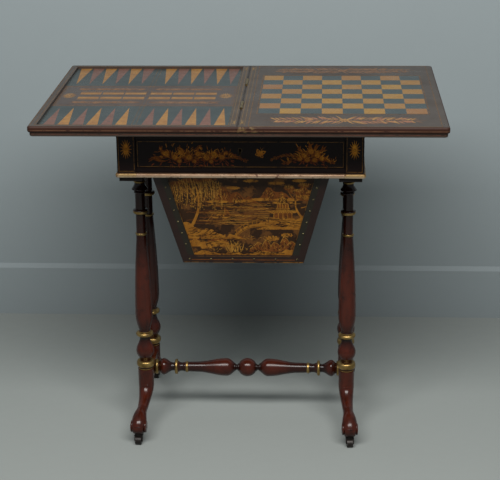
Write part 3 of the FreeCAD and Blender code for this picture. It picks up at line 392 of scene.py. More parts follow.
castors = " ".join("castor_fork_%s castor_wheel_%s" % (corner, corner) for corner in corners)
finishes_of_nodes = (
    (leaf_lacquer(), "chess_leaf tray_panel tray_rim"),
    (frieze_black, "frieze_end_left frieze_end_right frieze_back frieze_top_strip corner_blocks"),
    (frieze_black, "drawer_top_rail drawer_bottom_rail drawer_front"),
    (moulding_gilt(), "base_frame_left base_frame_right base_frame_back work_box_front_rail"),
    (cleat_black_shaded, "end_cleat_left end_cleat_right"),
    (box_walls(), "work_box_front work_box_back work_box_walls"),
    (border_red, "work_box_border"),
    (stud_brass, "work_box_studs"),
    (carcass_wood, "work_box_floor work_box_frame pivot_board drawer_runners dust_board"),
    (drawer_wood, "drawer_sides drawer_back drawer_bottom"),
    (leg_red_shaded, "end_rail_left end_rail_right"),
    (brass, "hinge_plates_fixed hinge_plates_folding hinge_pins drawer_lock"),
    (liner_bronze, "keyhole_escutcheon"),
    (steel, "lock_bolt pivot_plate pivot_nut pivot_screws swivel_stop_peg"),
    (castor_black, "castor_sockets " + castors),
)
for finish, names in finishes_of_nodes:
    for name in names.split():
        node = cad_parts[name]
        if len(node.data.materials) == 0:
            node.data.materials.append(finish)
        for slot in node.material_slots:
            slot.material = finish


# Meshes

def piece(name, body, verts, faces, finishes, tones=None, smooth=None, instead=()):
    """One mesh in metres that rides on a body."""
    mesh = bpy.data.meshes.new(name)
    mesh.from_pydata([tuple(v) for v in verts], [], faces)
    for finish in finishes:
        mesh.materials.append(finish)
    if tones:
        mesh.polygons.foreach_set("material_index", tones)
    if smooth is not None:
        mesh.polygons.foreach_set("use_smooth", [True] * len(mesh.polygons))
        build = bmesh.new()
        build.from_mesh(mesh)
        bmesh.ops.recalc_face_normals(build, faces=build.faces)
        build.to_mesh(mesh)
        build.free()
        mesh.set_sharp_from_angle(angle=radians(smooth))
    mesh.validate()
    mesh.update()
    made = bpy.data.objects.new(name, mesh)
    scene.collection.objects.link(made)
    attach(made, body)
    if instead:
        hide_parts(*instead)


def skin(rings, sides):
    """Faces between closed rings of vertices, each given by the number of its first one."""
    faces = []
    for a, b in zip(rings, rings[1:]):
        for k in range(sides):
            after = (k + 1) % sides
            faces.append([a + k, a + after, b + after, b + k])
    return faces


def signed_area(loop):
    return sum(a[0] * b[1] - b[0] * a[1] for a, b in zip(loop, loop[1:] + loop[:1])) / 2


class Surface:
    """A flat surface of the model that takes thin painted or gilt shapes. Outlines are in millimetres.

    The slot it is given is not used."""

    depth = 0.10
    layer = 0.0016
    layers = 24
    least_area = 0.02

    def __init__(self, body, slot, origin, across, up):
        self.body, self.slot = body, slot
        self.origin, self.across, self.up = Vector(origin) * MM, across, up
        self.out = across.cross(up)

    def paint(self, name, finish, loops, high=0.12):
        """One piece of all the shapes. Each lies a hair higher than the last, so that none share a plane."""
        verts, faces = [], []
        for index, loop in enumerate(loops):
            if len(loop) < 3 or abs(signed_area(loop)) < self.least_area:
                continue
            if signed_area(loop) < 0:
                loop = loop[::-1]
            start, count = len(verts), len(loop)
            for lift in (-self.depth, high + self.layer * (index % self.layers)):
                verts += [self.origin + (self.across * a + self.up * b + self.out * lift) * MM
                          for a, b in loop]
            faces.append(list(range(start + count - 1, start - 1, -1)))
            faces.append(list(range(start + count, start + 2 * count)))
            faces += skin([start, start + count], count)
        piece(name, self.body, verts, faces, [finish])


def rect(x0, y0, x1, y1):
    return [(x0, y0), (x1, y0), (x1, y1), (x0, y1)]


def rules(x0, y0, x1, y1, width):
    """A thin line round a rectangle, in four mitred strips."""
    a, b, c, d = x0 + width, y0 + width, x1 - width, y1 - width
    return [[(x0, y0), (x1, y0), (c, b), (a, b)], [(x1, y0), (x1, y1), (c, d), (c, b)],
            [(x1, y1), (x0, y1), (a, d), (c, d)], [(x0, y1), (x0, y0), (a, b), (a, d)]]


def leaf(x, y, angle, length, width, curl=0.0, steps=7):
    """A pointed leaf that starts at a place and grows at an angle in degrees."""
    turn = radians(angle)
    upper, lower = [], []
    for k in range(steps + 1):
        t = k / steps
        half = width / 2 * sin(pi * t ** 0.8) ** 0.9 if 0 < k < steps else 0.0
        mid = curl * length * sin(pi * t) * 0.5
        upper.append((t * length, mid + half))
        if 0 < k < steps:
            lower.append((t * length, mid - half))
    return [(x + a * cos(turn) - b * sin(turn), y + a * sin(turn) + b * cos(turn))
            for a, b in upper + lower[::-1]]


def disc(x, y, rx, ry=None, sides=16):
    ry = rx if ry is None else ry
    return [(x + rx * cos(2 * pi * k / sides), y + ry * sin(2 * pi * k / sides)) for k in range(sides)]


def flower(x, y, rx, ry, petals, heart=0.22, turn=0.0, width=None, steps=7):
    """Petals that radiate from a heart, inside an oval."""
    loops = []
    start = heart + 0.06
    for k in range(petals):
        way = 2 * pi * k / petals + turn
        px, py = cos(way) * rx, sin(way) * ry
        long = hypot(px, py)
        wide = width or 2 * pi * 0.62 * long / petals
        angle = degrees(atan2(py, px))
        loops.append(leaf(x + px * start, y + py * start, angle, long * (1 - start), wide, 0.0, steps))
    loops.append(disc(x, y, rx * heart, ry * heart))
    return loops


def rays(x, y, rx, ry, count, width):
    """A flower of thin petals in two rings that radiate to an oval edge."""
    return (flower(x, y, rx, ry, count, 0.10, 0.0, width)
            + flower(x, y, rx * 0.62, ry * 0.62, count, 0.10, pi / count, width))


def stem(points, width, end=None):
    """A thin ribbon along points, which narrows to its end width."""
    end = width if end is None else end
    left, right = [], []
    for k, (x, y) in enumerate(points):
        before, after = points[max(k - 1, 0)], points[min(k + 1, len(points) - 1)]
        dx, dy = after[0] - before[0], after[1] - before[1]
        long = hypot(dx, dy) or 1.0
        half = (width + (end - width) * k / (len(points) - 1)) / 2
        left.append((x - dy / long * half, y + dx / long * half))
        right.append((x + dy / long * half, y - dx / long * half))
    return left + right[::-1]


def bow(x0, y0, x1, y1, rise, steps=10):
    """Points of a curve between two places that swings out by rise."""
    dx, dy = x1 - x0, y1 - y0
    long = hypot(dx, dy) or 1.0
    points = []
    for k in range(steps + 1):
        t = k / steps
        swing = rise * sin(pi * t)
        points.append((x0 + dx * t - dy / long * swing, y0 + dy * t + dx / long * swing))
    return points


def fan(angle, up, side):
    """An angle above or below a level line that points left or right."""
    return angle * up if side > 0 else 180 - angle * up


# Turned work

class Profile:
    """Half outline of a turned piece: radius against place along its axis, with a finish for each stretch."""

    def __init__(self, start, radius):
        self.points = [(radius, start)]
        self.finish = []

    def line(self, radius, place, finish=0):
        self.points.append((radius, place))
        self.finish.append(finish)

    def curve(self, radius, place, shape, steps=14):
        r0, p0 = self.points[-1]
        for k in range(1, steps + 1):
            t = k / steps
            share = {"ease": (1 - cos(pi * t)) / 2, "lean": 1 - cos(pi * t / 2),
                     "settle": sin(pi * t / 2),
                     "round": (1 - sqrt(1 - 0.81 * t * t)) / (1 - sqrt(0.19))}[shape]
            self.line(r0 + (radius - r0) * share, p0 + (place - p0) * t)

    def bead(self, radius, place, finish=0, power=1.0, steps=12, split=1.0):
        """A rounded ring that takes the finish up to the share split of its length."""
        r0, p0 = self.points[-1]
        for k in range(1, steps + 1):
            way = pi * k / steps
            along = (1 - cos(way)) / 2
            reach = r0 + (radius - r0) * sin(way) ** power if k < steps else r0
            self.line(reach, p0 + (place - p0) * along, finish if along <= split else 0)


def ring(radius, sides):
    """Places round a circle in the plane across a turned piece's axis."""
    ways = [2 * pi * k / sides for k in range(sides)]
    return [(radius * cos(way), radius * sin(way)) for way in ways]


def turned(name, profile, place, instead, sides=64, smooth=38):
    """A turned piece of red lacquer with gilt rings."""
    verts, tones = [], []
    for radius, along in profile.points:
        verts += [place(a, b, along) * MM for a, b in ring(radius, sides)]
    rings = list(range(0, len(verts), sides))
    for tone in profile.finish:
        tones += [tone] * sides
    faces = skin(rings, sides)
    faces.append(list(range(sides - 1, -1, -1)))
    faces.append(list(range(rings[-1], rings[-1] + sides)))
    tones += [profile.finish[0], profile.finish[-1]]
    piece(name, "base", verts, faces, [leg_red_shaded, gilt_ring], tones, smooth, [instead])


def column_profile():
    """From the foot up. The finish 1 is gilt."""
    p = Profile(leg_top, 15.5)
    p.line(15.5, 132.4)
    p.line(15.9, 132.6, 1)
    p.line(15.9, 134.2, 1)
    p.line(14.9, 134.6)
    p.line(14.9, 137.3)
    p.bead(19.5, 151.0, 1, 0.7, 18)
    p.line(12.0, 151.0, 1)
    p.line(12.0, 155.0)
    p.curve(19.6, 174.0, "settle")
    p.curve(11.0, 204.0, "ease", 18)
    p.line(11.0, 208.7)
    p.bead(18.7, 218.0, 1, 0.55, 16)
    p.line(13.4, 218.3, 1)
    p.line(13.0, 219.8, 1)
    p.line(11.6, 220.4)
    p.line(11.6, 222.0)
    p.curve(18.6, 260.0, "settle", 20)
    p.curve(10.3, 440.0, "lean", 34)
    p.bead(12.2, 445.0, 1, 0.6, 10)
    p.line(10.3, 445.4)
    p.line(10.3, 486.5)
    p.line(12.4, 488.0)
    p.bead(16.0, 497.0, 1, 0.62, 16, 0.7)
    p.line(10.6, 497.8)
    p.line(10.3, 532.4)
    p.bead(12.6, 537.0, 0, 0.8, 10)
    p.curve(16.8, 541.0, "lean", 6)
    p.line(16.8, 542.4)
    p.curve(10.5, 556.0, "settle")
    p.bead(12.4, 560.0, 1, 0.8, 10)
    p.curve(18.5, 585.0, "settle", 16)
    p.line(18.5, 590.6)
    p.line(18.6, 591.0, 1)
    p.line(18.6, 593.0, 1)
    p.line(18.5, 594.0)
    return p


outline = column_profile()
for corner, (sx, sy) in corners.items():
    cx, cy = sx * column_x, sy * column_y
    turned("turned_column_" + corner, outline, lambda a, b, h: Vector((cx + a, cy + b, h)),
           "column_" + corner)


def stretcher_profile():
    """From the middle outwards. The other half is its mirror, and the finish 1 is gilt."""
    p = Profile(0.0, 20.2)
    p.curve(8.6, 19.4, "round", 16)
    p.line(8.6, 20.4)
    p.curve(5.8, 23.5, "settle", 6)
    p.curve(9.2, 27.4, "lean", 6)
    p.line(9.2, 28.6)
    p.curve(19.6, 46.0, "settle", 18)
    p.curve(11.4, 112.0, "ease", 28)
    p.line(10.8, 132.0)
    p.bead(12.2, 137.8, 1, 0.7, 10)
    p.curve(9.4, 146.0, "ease", 6)
    p.curve(12.6, 155.0, "lean", 8)
    p.bead(17.2, 161.6, 1, 0.6, 12)
    p.line(9.4, 162.2)
    p.curve(9.0, 166.0, "settle", 4)
    p.curve(18.2, 187.0, "ease", 18)
    p.curve(12.2, 195.6, "lean", 10)
    p.line(12.0, 198.0)
    p.bead(16.9, 206.0, 1, 0.7, 14)
    return p


half = stretcher_profile()
whole = Profile(-half.points[-1][1], half.points[-1][0])
for (radius, along), tone in zip(half.points[-2::-1], half.finish[::-1]):
    whole.line(radius, -along, tone)
for (radius, along), tone in zip(half.points[1:], half.finish):
    whole.line(radius, along, tone)
turned("turned_stretcher", whole, lambda a, b, h: Vector((h, a, stretcher_height + b)), "stretcher")


def spline(points, steps):
    """A smooth curve through the points, from the second to the last."""
    places = []
    for k in range(1, len(points) - 1):
        near = points[k - 1], points[k], points[k + 1], points[min(k + 2, len(points) - 1)]
        for step in range(steps):
            t = step / steps
            places.append(tuple(0.5 * (2 * b + (c - a) * t + (2 * a - 5 * b + 4 * c - d) * t * t
                                       + (3 * b - a - 3 * c + d) * t ** 3) for a, b, c, d in zip(*near)))
    return places + [points[-1]]


def swept_foot(corner, sx, sy, sides=48, ridge=0.05):
    """A foot that sweeps out from under its column and ends in a rolled toe."""
    head = [(0, height, leg_radius) for height in (leg_top, 130.6, 128.7, 126.7, 120.0, 108.0)]
    sweep = [(0, leg_top, leg_radius), (0, 97.5, leg_radius), (5.9, 82.0, 15.6), (24.8, 68.4, 12.9),
             (51.5, 58.8, 11.2), (69.0, 57.2, 12.0), (84.5, 54.0, 14.6), (96.5, 43.5, 17.2),
             (101.0, 36.0, 17.8)]
    spine = head + spline(sweep, 8)
    turn = radians(-leg_splay)

    def put(a, b, h):
        x, y = a * cos(turn) - b * sin(turn), a * sin(turn) + b * cos(turn)
        return Vector((sx * (column_x + x), sy * (column_y + y), max(h, foot_low))) * MM

    verts = []
    for index, (forward, height, radius) in enumerate(spine):
        before, after = spine[max(index - 1, 0)], spine[min(index + 1, len(spine) - 1)]
        slope = Vector((0, after[0] - before[0], after[1] - before[1])).normalized()
        if index <= len(head):
            slope = -Z
        up = slope.cross(X)
        for k in range(sides):
            way = 2 * pi * k / sides
            reach = radius
            if index > len(head):
                reach = radius * (1 + ridge * max(0.0, sin(way)) ** 6)
            point = Vector((0, forward, height)) + X * (reach * cos(way)) - up * (reach * sin(way))
            verts.append(put(*point))
    toe = Profile(-17.0, 10.0)
    toe.bead(13.0, -12.2, 0, 0.8, 10)
    toe.curve(13.6, -11.8, "settle", 2)
    toe.bead(17.8, 11.8, 0, 0.8, 22)
    toe.curve(10.0, 12.2, "lean", 2)
    toe.bead(13.0, 17.0, 0, 0.8, 10)
    start = len(verts)
    for radius, along in toe.points:
        verts += [put(along, toe_reach + a, toe_height + b) for a, b in ring(radius, sides)]
    faces = []
    for first, end in ((0, start), (start, len(verts))):
        faces += skin(range(first, end, sides), sides)
        faces.append(list(range(first, first + sides)))
        faces.append(list(range(end - sides, end)))
    piece("swept_foot_" + corner, "base", verts, faces, [leg_red_shaded], None, 42,
          ["foot_" + corner])


for corner, (sx, sy) in corners.items():
    swept_foot(corner, sx, sy)


# Chess leaf

chess = Surface("top", "top_lacquer", (0, 0, leaf_top), X, Y)
square_gap = 0.2
line_gap = 3.2
squares = []
for column in range(8):
    for row in range(8):
        if (column + row) % 2 == 1:
            x, y = board_x + column * square, board_y + row * square
            squares.append(rect(x + square_gap, y + square_gap, x + square - square_gap,
                                y + square - square_gap))
chess.paint("chess_field", chess_dark, [rect(board_x, board_y, board_x + board, board_y + board)], 0.06)
chess.paint("chess_squares", chess_gold, squares, 0.10)
chess.paint("chess_lines", gold_line,
            rules(board_x - line_gap, board_y - line_gap, board_x + board + line_gap,
                  board_y + board + line_gap, 0.9)
            + rules(20.5, -269.5, 393.5, 269.5, 0.9))


def laurel(sign, seed):
    """A band of long narrow leaves that sweep outwards from the middle, along a thin stem."""
    pick = random.Random(seed)
    gold, salmon, dull = [], [], []
    mid_x, mid_y, reach = 206.5, sign * 220.0, 136.0
    dull.append(stem(bow(48, mid_y, 366, mid_y, 3.0 * sign, 24), 0.9))
    for side in (-1, 1):
        x = 2.0
        while x < reach:
            grow = 1.0 - 0.42 * (x / reach) ** 2
            for up in (-1, 1):
                angle = fan(pick.uniform(38, 70), up, side)
                long, wide = pick.uniform(26, 38) * grow, pick.uniform(3.0, 4.4)
                shape = leaf(mid_x + side * x + pick.uniform(-2, 2), mid_y + up * pick.uniform(0.5, 3.0),
                             angle, long, wide, 0.10 * up * side)
                pick.choice((gold, gold, salmon, salmon, dull)).append(shape)
                if pick.random() < 0.55:
                    angle = fan(pick.uniform(8, 26), up, side)
                    dull.append(leaf(mid_x + side * (x + 3), mid_y + up * pick.uniform(6, 14) * grow, angle,
                                     pick.uniform(12, 18) * grow, 2.8))
            x += pick.uniform(3.6, 5.0)
        salmon += flower(mid_x + side * 70, mid_y + 5, 9, 11, 8, 0.25)
    gold += flower(mid_x, mid_y, 11, 13, 9, 0.25)
    return gold, salmon, dull


for label, sign, seed, gold_tone, salmon_tone in (("front", -1, 5, spray_gold, spray_salmon),
                                                  ("back", 1, 9, spray_dull, spray_dull)):
    gold, salmon, dull = laurel(sign, seed)
    chess.paint("laurel_gold_" + label, gold_tone, gold, 0.14)
    chess.paint("laurel_salmon_" + label, salmon_tone, salmon, 0.09)
    chess.paint("laurel_dull_" + label, spray_dull, dull, 0.05)


# The joint between the leaves

hinge_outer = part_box("hinge_pins")[1][1] / MM + 0.4
hinge_inner = hinge_outer - 55.8
hinge_room = 3.4
strip_half = 270.0


def along_joint(sign, near, far):
    """Rectangles beside the joint that keep clear of the two hinges' barrels."""
    stops = (-strip_half, -hinge_outer, -hinge_inner, hinge_inner, hinge_outer, strip_half)
    parts = []
    for index, (low, high) in enumerate(zip(stops, stops[1:])):
        start = max(near, hinge_room) if index % 2 else near
        if start < far:
            inner, outer = sorted((sign * start, sign * far))
            parts.append(rect(inner, low, outer, high))
    return parts


def joint_strip(surface, name, sign):
    """The lighter strip beside the joint, with two thin lines and a small ornament near each end."""
    middle = sign * 7.9
    lines = [rect(sign * x - 0.4, -262, sign * x + 0.4, 262) for x in (6.0, 13.4)]
    for end in (-1, 1):
        y = end * 236.0
        lines += flower(middle, y, 3.4, 8.5, 8, 0.3)
        for k in (-1, 1):
            lines.append(leaf(middle, y + end * 8, 90 * end + 24 * k, 9, 2.6))
        low, high = sorted((y - end * 12.6, y - end * 11.8))
        lines.append(rect(middle - 5.4, low, middle + 5.4, high))
    surface.paint(name + "_ground", strip_brown, along_joint(sign, 0.6, 15.4), 0.05)
    surface.paint(name + "_gold", gold_bright, lines, 0.11)
    surface.paint(name + "_dark_edge", frieze_black, along_joint(sign, 0.65, 1.9), 0.09)


rim = Surface("tray_leaf", "top_lacquer", (0, 0, leaf_top), X, Y)
joint_strip(chess, "chess_joint_strip", 1)
joint_strip(rim, "tray_joint_strip", -1)


def screw_head(x, y, radius, slot, angle):
    """The two halves of a flat round head, with its slot between them."""
    lean = asin(slot / 2 / radius)
    arc = [lean + (pi - 2 * lean) * k / 10 for k in range(11)]
    return [[(x + radius * cos(a + turn), y + radius * sin(a + turn)) for a in arc]
            for turn in (angle, angle + pi)]


def hinge_screws(name, body, sign):
    """Three screws in each hinge plate, which show on the edge of the leaf when the top is folded."""
    plate_face = Surface(body, "brass", (sign * leaf_joint_gap / 2, 0, 0), -sign * Y, Z)
    pick = random.Random(31)
    middle = (hinge_outer + hinge_inner) / 2
    heads = []
    for center in (-middle, middle):
        for along in (-19.0, 0.0, 19.0):
            heads += screw_head(-sign * (center + along), leaf_top - 10.5, 2.5, 0.6, pick.uniform(0, pi))
    plate_face.paint(name, stud_brass, heads, 0.02)


hinge_screws("hinge_screws_fixed", "top", 1)
hinge_screws("hinge_screws_folding", "tray_leaf", -1)


# Tray leaf

tray = Surface("tray_leaf", "top_lacquer", (0, 0, tray_floor), X, Y)
left, right, mid = -391.4, -16.6, -204.0
field_end, band = 258.4, 91.0
tray.paint("point_fields", field_blue,
           [rect(left, -field_end, right, -band), rect(left, band, right, field_end)], 0.05)
tray.paint("middle_band", band_brown, [rect(left, -band, right, band)], 0.05)
golds, reds = [], []
pitch, point_tip = 28.4, 104.0
for start in (left + 3.6, mid + 9.4):
    for k in range(6):
        x = start + k * pitch + 2.4
        first, tip, last = x + 1.6, x + pitch / 2, x + pitch - 1.6
        near, far = (golds, reds) if k % 2 == 1 else (reds, golds)
        near.append([(first, -field_end), (last, -field_end), (tip, -point_tip)])
        far.append([(first, field_end), (tip, point_tip), (last, field_end)])
tray.paint("points_gold", point_gold, golds, 0.11)
tray.paint("points_red", point_red, reds, 0.11)
tray.paint("tray_lines", gold_line,
           rules(left + 2, -87, right - 2, 87, 0.8) + rules(left + 6, -81, right - 6, 81, 0.6)
           + [rect(mid - 4.4, -256, mid - 3.8, 256), rect(mid + 3.8, -256, mid + 4.4, 256),
              rect(right - 2.6, -256, right - 1.8, 256)], 0.13)
bars, sprigs, suns = [], [], []
bar_edges = ((-25.6, -12.4), (-29, -28), (-10, -9), (12.4, 25.6), (9, 10), (28, 29), (-35, -34), (34, 35))
for side in (-1, 1):
    for k in range(3):
        start = mid + side * (5 + k * 47.5)
        a, b = sorted((start, start + side * 44.5))
        bars += [rect(a, low, b, high) for low, high in bar_edges]
    suns += flower(mid + side * 165.0, 0, 15, 24, 18, 0.20, width=2.2)
pick = random.Random(21)
for side in (-1, 1):
    for y in (-58, 58):
        rise = copysign(3, y)
        sprigs.append(stem(bow(mid + side * 8, y, mid + side * 150, y, rise, 20), 0.7))
        x = 10.0
        while x < 146:
            for up in (-1, 1):
                sprigs.append(leaf(mid + side * x, y + up * 1.0, fan(pick.uniform(20, 55), up, side),
                                   pick.uniform(11, 18), pick.uniform(2.2, 3.4)))
            if pick.random() < 0.35:
                sprigs += flower(mid + side * (x + 3), y, 6.5, 8.5, 7, 0.26)
            x += pick.uniform(4.6, 6.6)
tray.paint("tray_bars", point_gold, bars, 0.13)
tray.paint("tray_sprigs", spray_dull, sprigs, 0.15)
tray.paint("tray_suns", spray_gold, suns, 0.15)
rim_lines = [rect(-404.5, -262, -403.8, 262), rect(-395.0, -262, -394.3, 262),
             rect(-394, 262.0, -17, 262.7), rect(-394, -262.7, -17, -262.0)]
rim.paint("rim_lines", gold_line, rim_lines)


def edge_line(name, body, sign, inset, low, high, finish):
    """A thin line round the upright part of a leaf's moulded edge."""
    reach, half_y, radius = leaf_width - inset, leaf_half - inset, leaf_round
    under, over, bevel = -0.1, 0.14, 0.1
    path = [(0.6, -half_y, 0, -1)]
    for start, side in ((-90, -1), (0, 1)):
        for k in range(7):
            way = radians(start + 15 * k)
            nx, ny = cos(way), sin(way)
            path.append((reach - radius + radius * nx, side * (half_y - radius) + radius * ny, nx, ny))
    path.append((0.6, half_y, 0, 1))
    verts = []
    for x, y, nx, ny in path:
        for depth, height in ((under, low), (over, low + bevel), (over, high - bevel), (under, high)):
            verts.append(Vector((sign * (x + nx * depth), y + ny * depth, height)) * MM)
    last = len(verts) - 4
    faces = skin(range(0, len(verts), 4), 4)
    faces += [[0, 1, 2, 3], [last + 3, last + 2, last + 1, last]]
    piece(name, body, verts, faces, [finish], None, 30)


for body, sign, label in (("top", 1, "chess"), ("tray_leaf", -1, "tray")):
    edge_line(label + "_edge_line", body, sign, 0.0, 721.3, 722.4, edge_worn)
    edge_line(label + "_step_line", body, sign, leaf_step, 713.4, 714.6, edge_faint)


# Frieze

board_z = 660.0
block_x, block_y, block_z = 228.0, 188.9, 658.0
side_x, side_y = 247.0, 169.9


def frieze_face(x, y, z, across, body="base"):
    return Surface(body, "gilt_moulding", (x, y, z), across, Z)


def block_face(kind, label, x, y, across, sun=True):
    """One face of a corner block: a line round it and mostly a flower of rays in it."""
    face = frieze_face(x, y, block_z, across)
    if sun:
        face.paint("block_%s_gold_%s" % (kind, label), gold_paint, rays(0, 3, 12.5, 21, 15, 1.15))
    face.paint("block_%s_lines_%s" % (kind, label), gold_line, rules(-15.8, -43.0, 15.8, 47.0, 0.8))


for label, sx in sides_of:
    block_face("front", label, sx * block_x, -block_y, X)
    block_face("side", "front_" + label, sx * side_x, -side_y, Y * sx)
    block_face("side", "back_" + label, sx * side_x, side_y, Y * sx)
    block_face("back", label, sx * block_x, block_y, -X, sun=False)
frieze_face(0, 186.0, board_z, -X).paint("back_lines", gold_line, rules(-200, -42, 200, 42, 0.9))
drawer = frieze_face(0, -185.0, 651.0, X, "drawer")
drawer.paint("drawer_lines", gold_line, rules(-206.0, -27.0, 206.0, 25.4, 0.8))


def spray(surface, name, blooms, stems, leaves, seed):
    """Flower heads of thin petals over stems and loose leaves, in three tones from rust to gold."""
    pick = random.Random(seed)
    rust, dull, bright = [], [], []
    for x0, y0, x1, y1, rise, width in stems:
        path = bow(x0, y0, x1, y1, rise, 16)
        dull.append(stem(path, width, width * 0.4))
        for k in range(2, 16):
            x, y = path[k]
            way = degrees(atan2(y - path[k - 1][1], x - path[k - 1][0]))
            for up in (-1, 1):
                tone = dull if pick.random() < 0.6 else rust
                tone.append(leaf(x, y, way + up * pick.uniform(20, 50), pick.uniform(3.5, 7.5),
                                 pick.uniform(0.8, 1.4), 0.15 * up, 4))
    for x, y, spread_x, spread_y, count in leaves:
        for k in range(count):
            a, b = pick.gauss(0, spread_x), pick.gauss(0, spread_y)
            way = degrees(atan2(b + 4, a)) + pick.uniform(-35, 35)
            shape = leaf(x + a, y + b, way, pick.uniform(5, 11), pick.uniform(0.9, 1.7),
                         pick.uniform(-0.3, 0.3), 4)
            (rust if b < -2 else dull if pick.random() < 0.6 else bright).append(shape)
    for x, y, size, petals in blooms:
        turn = pick.uniform(0, 1)
        rust += flower(x, y, size * 1.12, size * 1.02, petals + 9, 0.12, turn, size * 0.15, 4)
        dull += flower(x, y, size * 0.98, size * 0.90, petals + 6, 0.14, turn + 0.12, size * 0.13, 4)
        bright += flower(x, y, size * 0.74, size * 0.68, petals + 3, 0.18, turn + 0.25, size * 0.12, 4)
    surface.paint(name + "_rust", gold_rust, rust, 0.03)
    surface.paint(name + "_dull", gold_dull, dull, 0.08)
    surface.paint(name, gold_paint, bright, 0.13)


spray(drawer, "drawer_spray_left",
      [(-148, 0, 9.5, 11), (-131, -7, 8.5, 10), (-117, 4, 7.5, 9), (-102, -7, 9.5, 11), (-84, 0, 8, 9),
       (-67, -8, 8.5, 10), (-52, -1, 9, 11), (-36, -7, 8, 9), (-92, -15, 6, 8), (-58, -15, 6, 8),
       (-122, -15, 6, 8), (-28, 2, 6, 7)],
      [(-152, -10, -182, -13, -3, 1.0), (-150, -14, -172, -6, 4, 0.8), (-30, -8, 14, -15, 4, 1.2),
       (-84, 4, -78, 14, 3, 0.8), (-150, 4, -158, 13, 3, 0.8), (-26, -2, -8, -6, 3, 0.8)],
      [(-138, -6, 15, 8, 80), (-104, -7, 16, 8, 90), (-66, -7, 16, 8, 90), (-38, -6, 10, 7, 50)], 3)
spray(drawer, "drawer_spray_right",
      [(141, 6, 9, 12), (128, -2, 8, 10), (154, -2, 8, 10), (119, -9, 7, 9), (163, -9, 7, 9),
       (134, -11, 7.5, 9), (149, -12, 7.5, 9)],
      [(116, -4, 60, -13, -6, 1.3), (141, 12, 141, 20, 1, 0.8), (128, 6, 118, 14, 3, 0.8),
       (154, 6, 166, 13, -3, 0.8), (166, -6, 188, -17, -2, 1.0), (104, -13, 86, -17, 2, 1.0),
       (150, 8, 154, 18, 1, 0.8)],
      [(141, -3, 14, 8, 110), (124, -10, 9, 4, 36), (158, -10, 9, 4, 36), (95, -15, 6, 2, 10),
       (181, -15, 5, 2, 8)], 4)
for label, sx in sides_of:
    end = frieze_face(sx * 244.0, 0, board_z, Y * sx)
    end.paint("end_lines_" + label, gold_line, rules(-143, -42, 143, 42, 0.9))
    spray(end, "end_spray_" + label,
          [(0, 4, 11, 12), (-18, -4, 9, 10), (18, -4, 9, 10), (-36, -9, 7.5, 9), (36, -9, 7.5, 9),
           (0, -14, 8, 9)],
          [(-42, -10, -84, -16, 5, 1.2), (42, -10, 84, -16, -5, 1.2), (0, 14, 0, 27, 1, 0.8),
           (-14, 6, -30, 17, -3, 0.8), (14, 6, 30, 17, 3, 0.8)],
          [(0, -5, 22, 8, 70)], 7 + sx)


def butterfly(x, y, size, tilt):
    """A small butterfly: two pairs of wings with darker hearts, a body and feelers."""
    wings, hearts = [], []
    for way, long, wide in ((38, 1.0, 0.62), (128, 0.86, 0.56), (-32, 0.74, 0.50), (196, 0.66, 0.46)):
        wings.append(leaf(x, y, way + tilt, size * long, size * wide, 0.06, 9))
        turn = radians(way + tilt)
        away = size * long * 0.62
        hearts.append(disc(x + cos(turn) * away, y + sin(turn) * away, size * 0.13, size * 0.09, 10))
    wings.append(leaf(x - size * 0.25, y - size * 0.42, 62 + tilt, size, size * 0.15))
    for side in (-1, 1):
        tip_x, tip_y = x + size * (0.35 + 0.25 * side), y + size * 0.95
        feeler = bow(x + size * 0.2, y + size * 0.4, tip_x, tip_y, side, 6)
        wings.append(stem(feeler, 0.5, 0.3))
    return wings, hearts


wings, hearts = butterfly(39, 0, 14, -14)
drawer.paint("drawer_butterfly", gold_paint, wings)
drawer.paint("drawer_butterfly_hearts", frieze_black, hearts, 0.19)


# Work box with a made up lake landscape in gold

slope = Vector((0, -box_flare_y, box_height)).normalized()
picture = Surface("work_box", "box_lacquer", (0, -box_low_half_y, box_low), X, slope)
field_low_half = 97.5
face_length = 215.5
field_low, field_high = 19.0, 214.5


def half_width(v, past=0.0):
    """Half the width of the picture's field at a height up the sloped front."""
    return field_low_half + past + box_flare_x * v / face_length


field = [(-half_width(field_low), field_low), (half_width(field_low), field_low),
         (half_width(field_high), field_high), (-half_width(field_high), field_high)]


def inside(loops):
    """Cut outlines to the field of the picture."""
    kept = []
    for loop in loops:
        for (ax, ay), (bx, by) in zip(field, field[1:] + field[:1]):
            deep = [(bx - ax) * (y - ay) - (by - ay) * (x - ax) for x, y in loop]
            cut = []
            for k, here in enumerate(loop):
                before = loop[k - 1]
                if (deep[k] >= 0) != (deep[k - 1] >= 0):
                    t = deep[k - 1] / (deep[k - 1] - deep[k])
                    cut.append((before[0] + (here[0] - before[0]) * t, before[1] + (here[1] - before[1]) * t))
                if deep[k] >= 0:
                    cut.append(here)
            loop = cut
            if not loop:
                break
        if len(loop) > 2:
            kept.append(loop)
    return kept


def clump(x, y, rx, ry, lumps=9, deep=0.24, steps=40):
    """A rounded clump with a scalloped edge, such as a bush, a cloud or a pad of needles."""
    shift = pick.uniform(0, 6)
    loop = []
    for k in range(steps):
        way = 2 * pi * k / steps
        reach = 1 - deep + deep * abs(sin(lumps * way / 2 + shift)) + pick.uniform(-0.03, 0.03)
        loop.append((x + rx * reach * cos(way), y + ry * reach * sin(way)))
    return loop


def land(x0, x1, base, peaks, rough=1.2, steps=48):
    """Land from a base line up to a profile of soft peaks, each with a place, a height and a width."""
    loop = [(x1, base), (x0, base)]
    for k in range(steps + 1):
        x = x0 + (x1 - x0) * k / steps
        rise = sum(height * exp(-((x - place) / width) ** 2) for place, height, width in peaks)
        loop.append((x, base + rise + pick.uniform(-rough, rough)))
    return loop


def wave(x0, x1, y, swell, width, steps=18):
    return stem([(x0 + (x1 - x0) * k / steps, y + swell * sin(k * 1.4 + x0)) for k in range(steps + 1)],
                width)


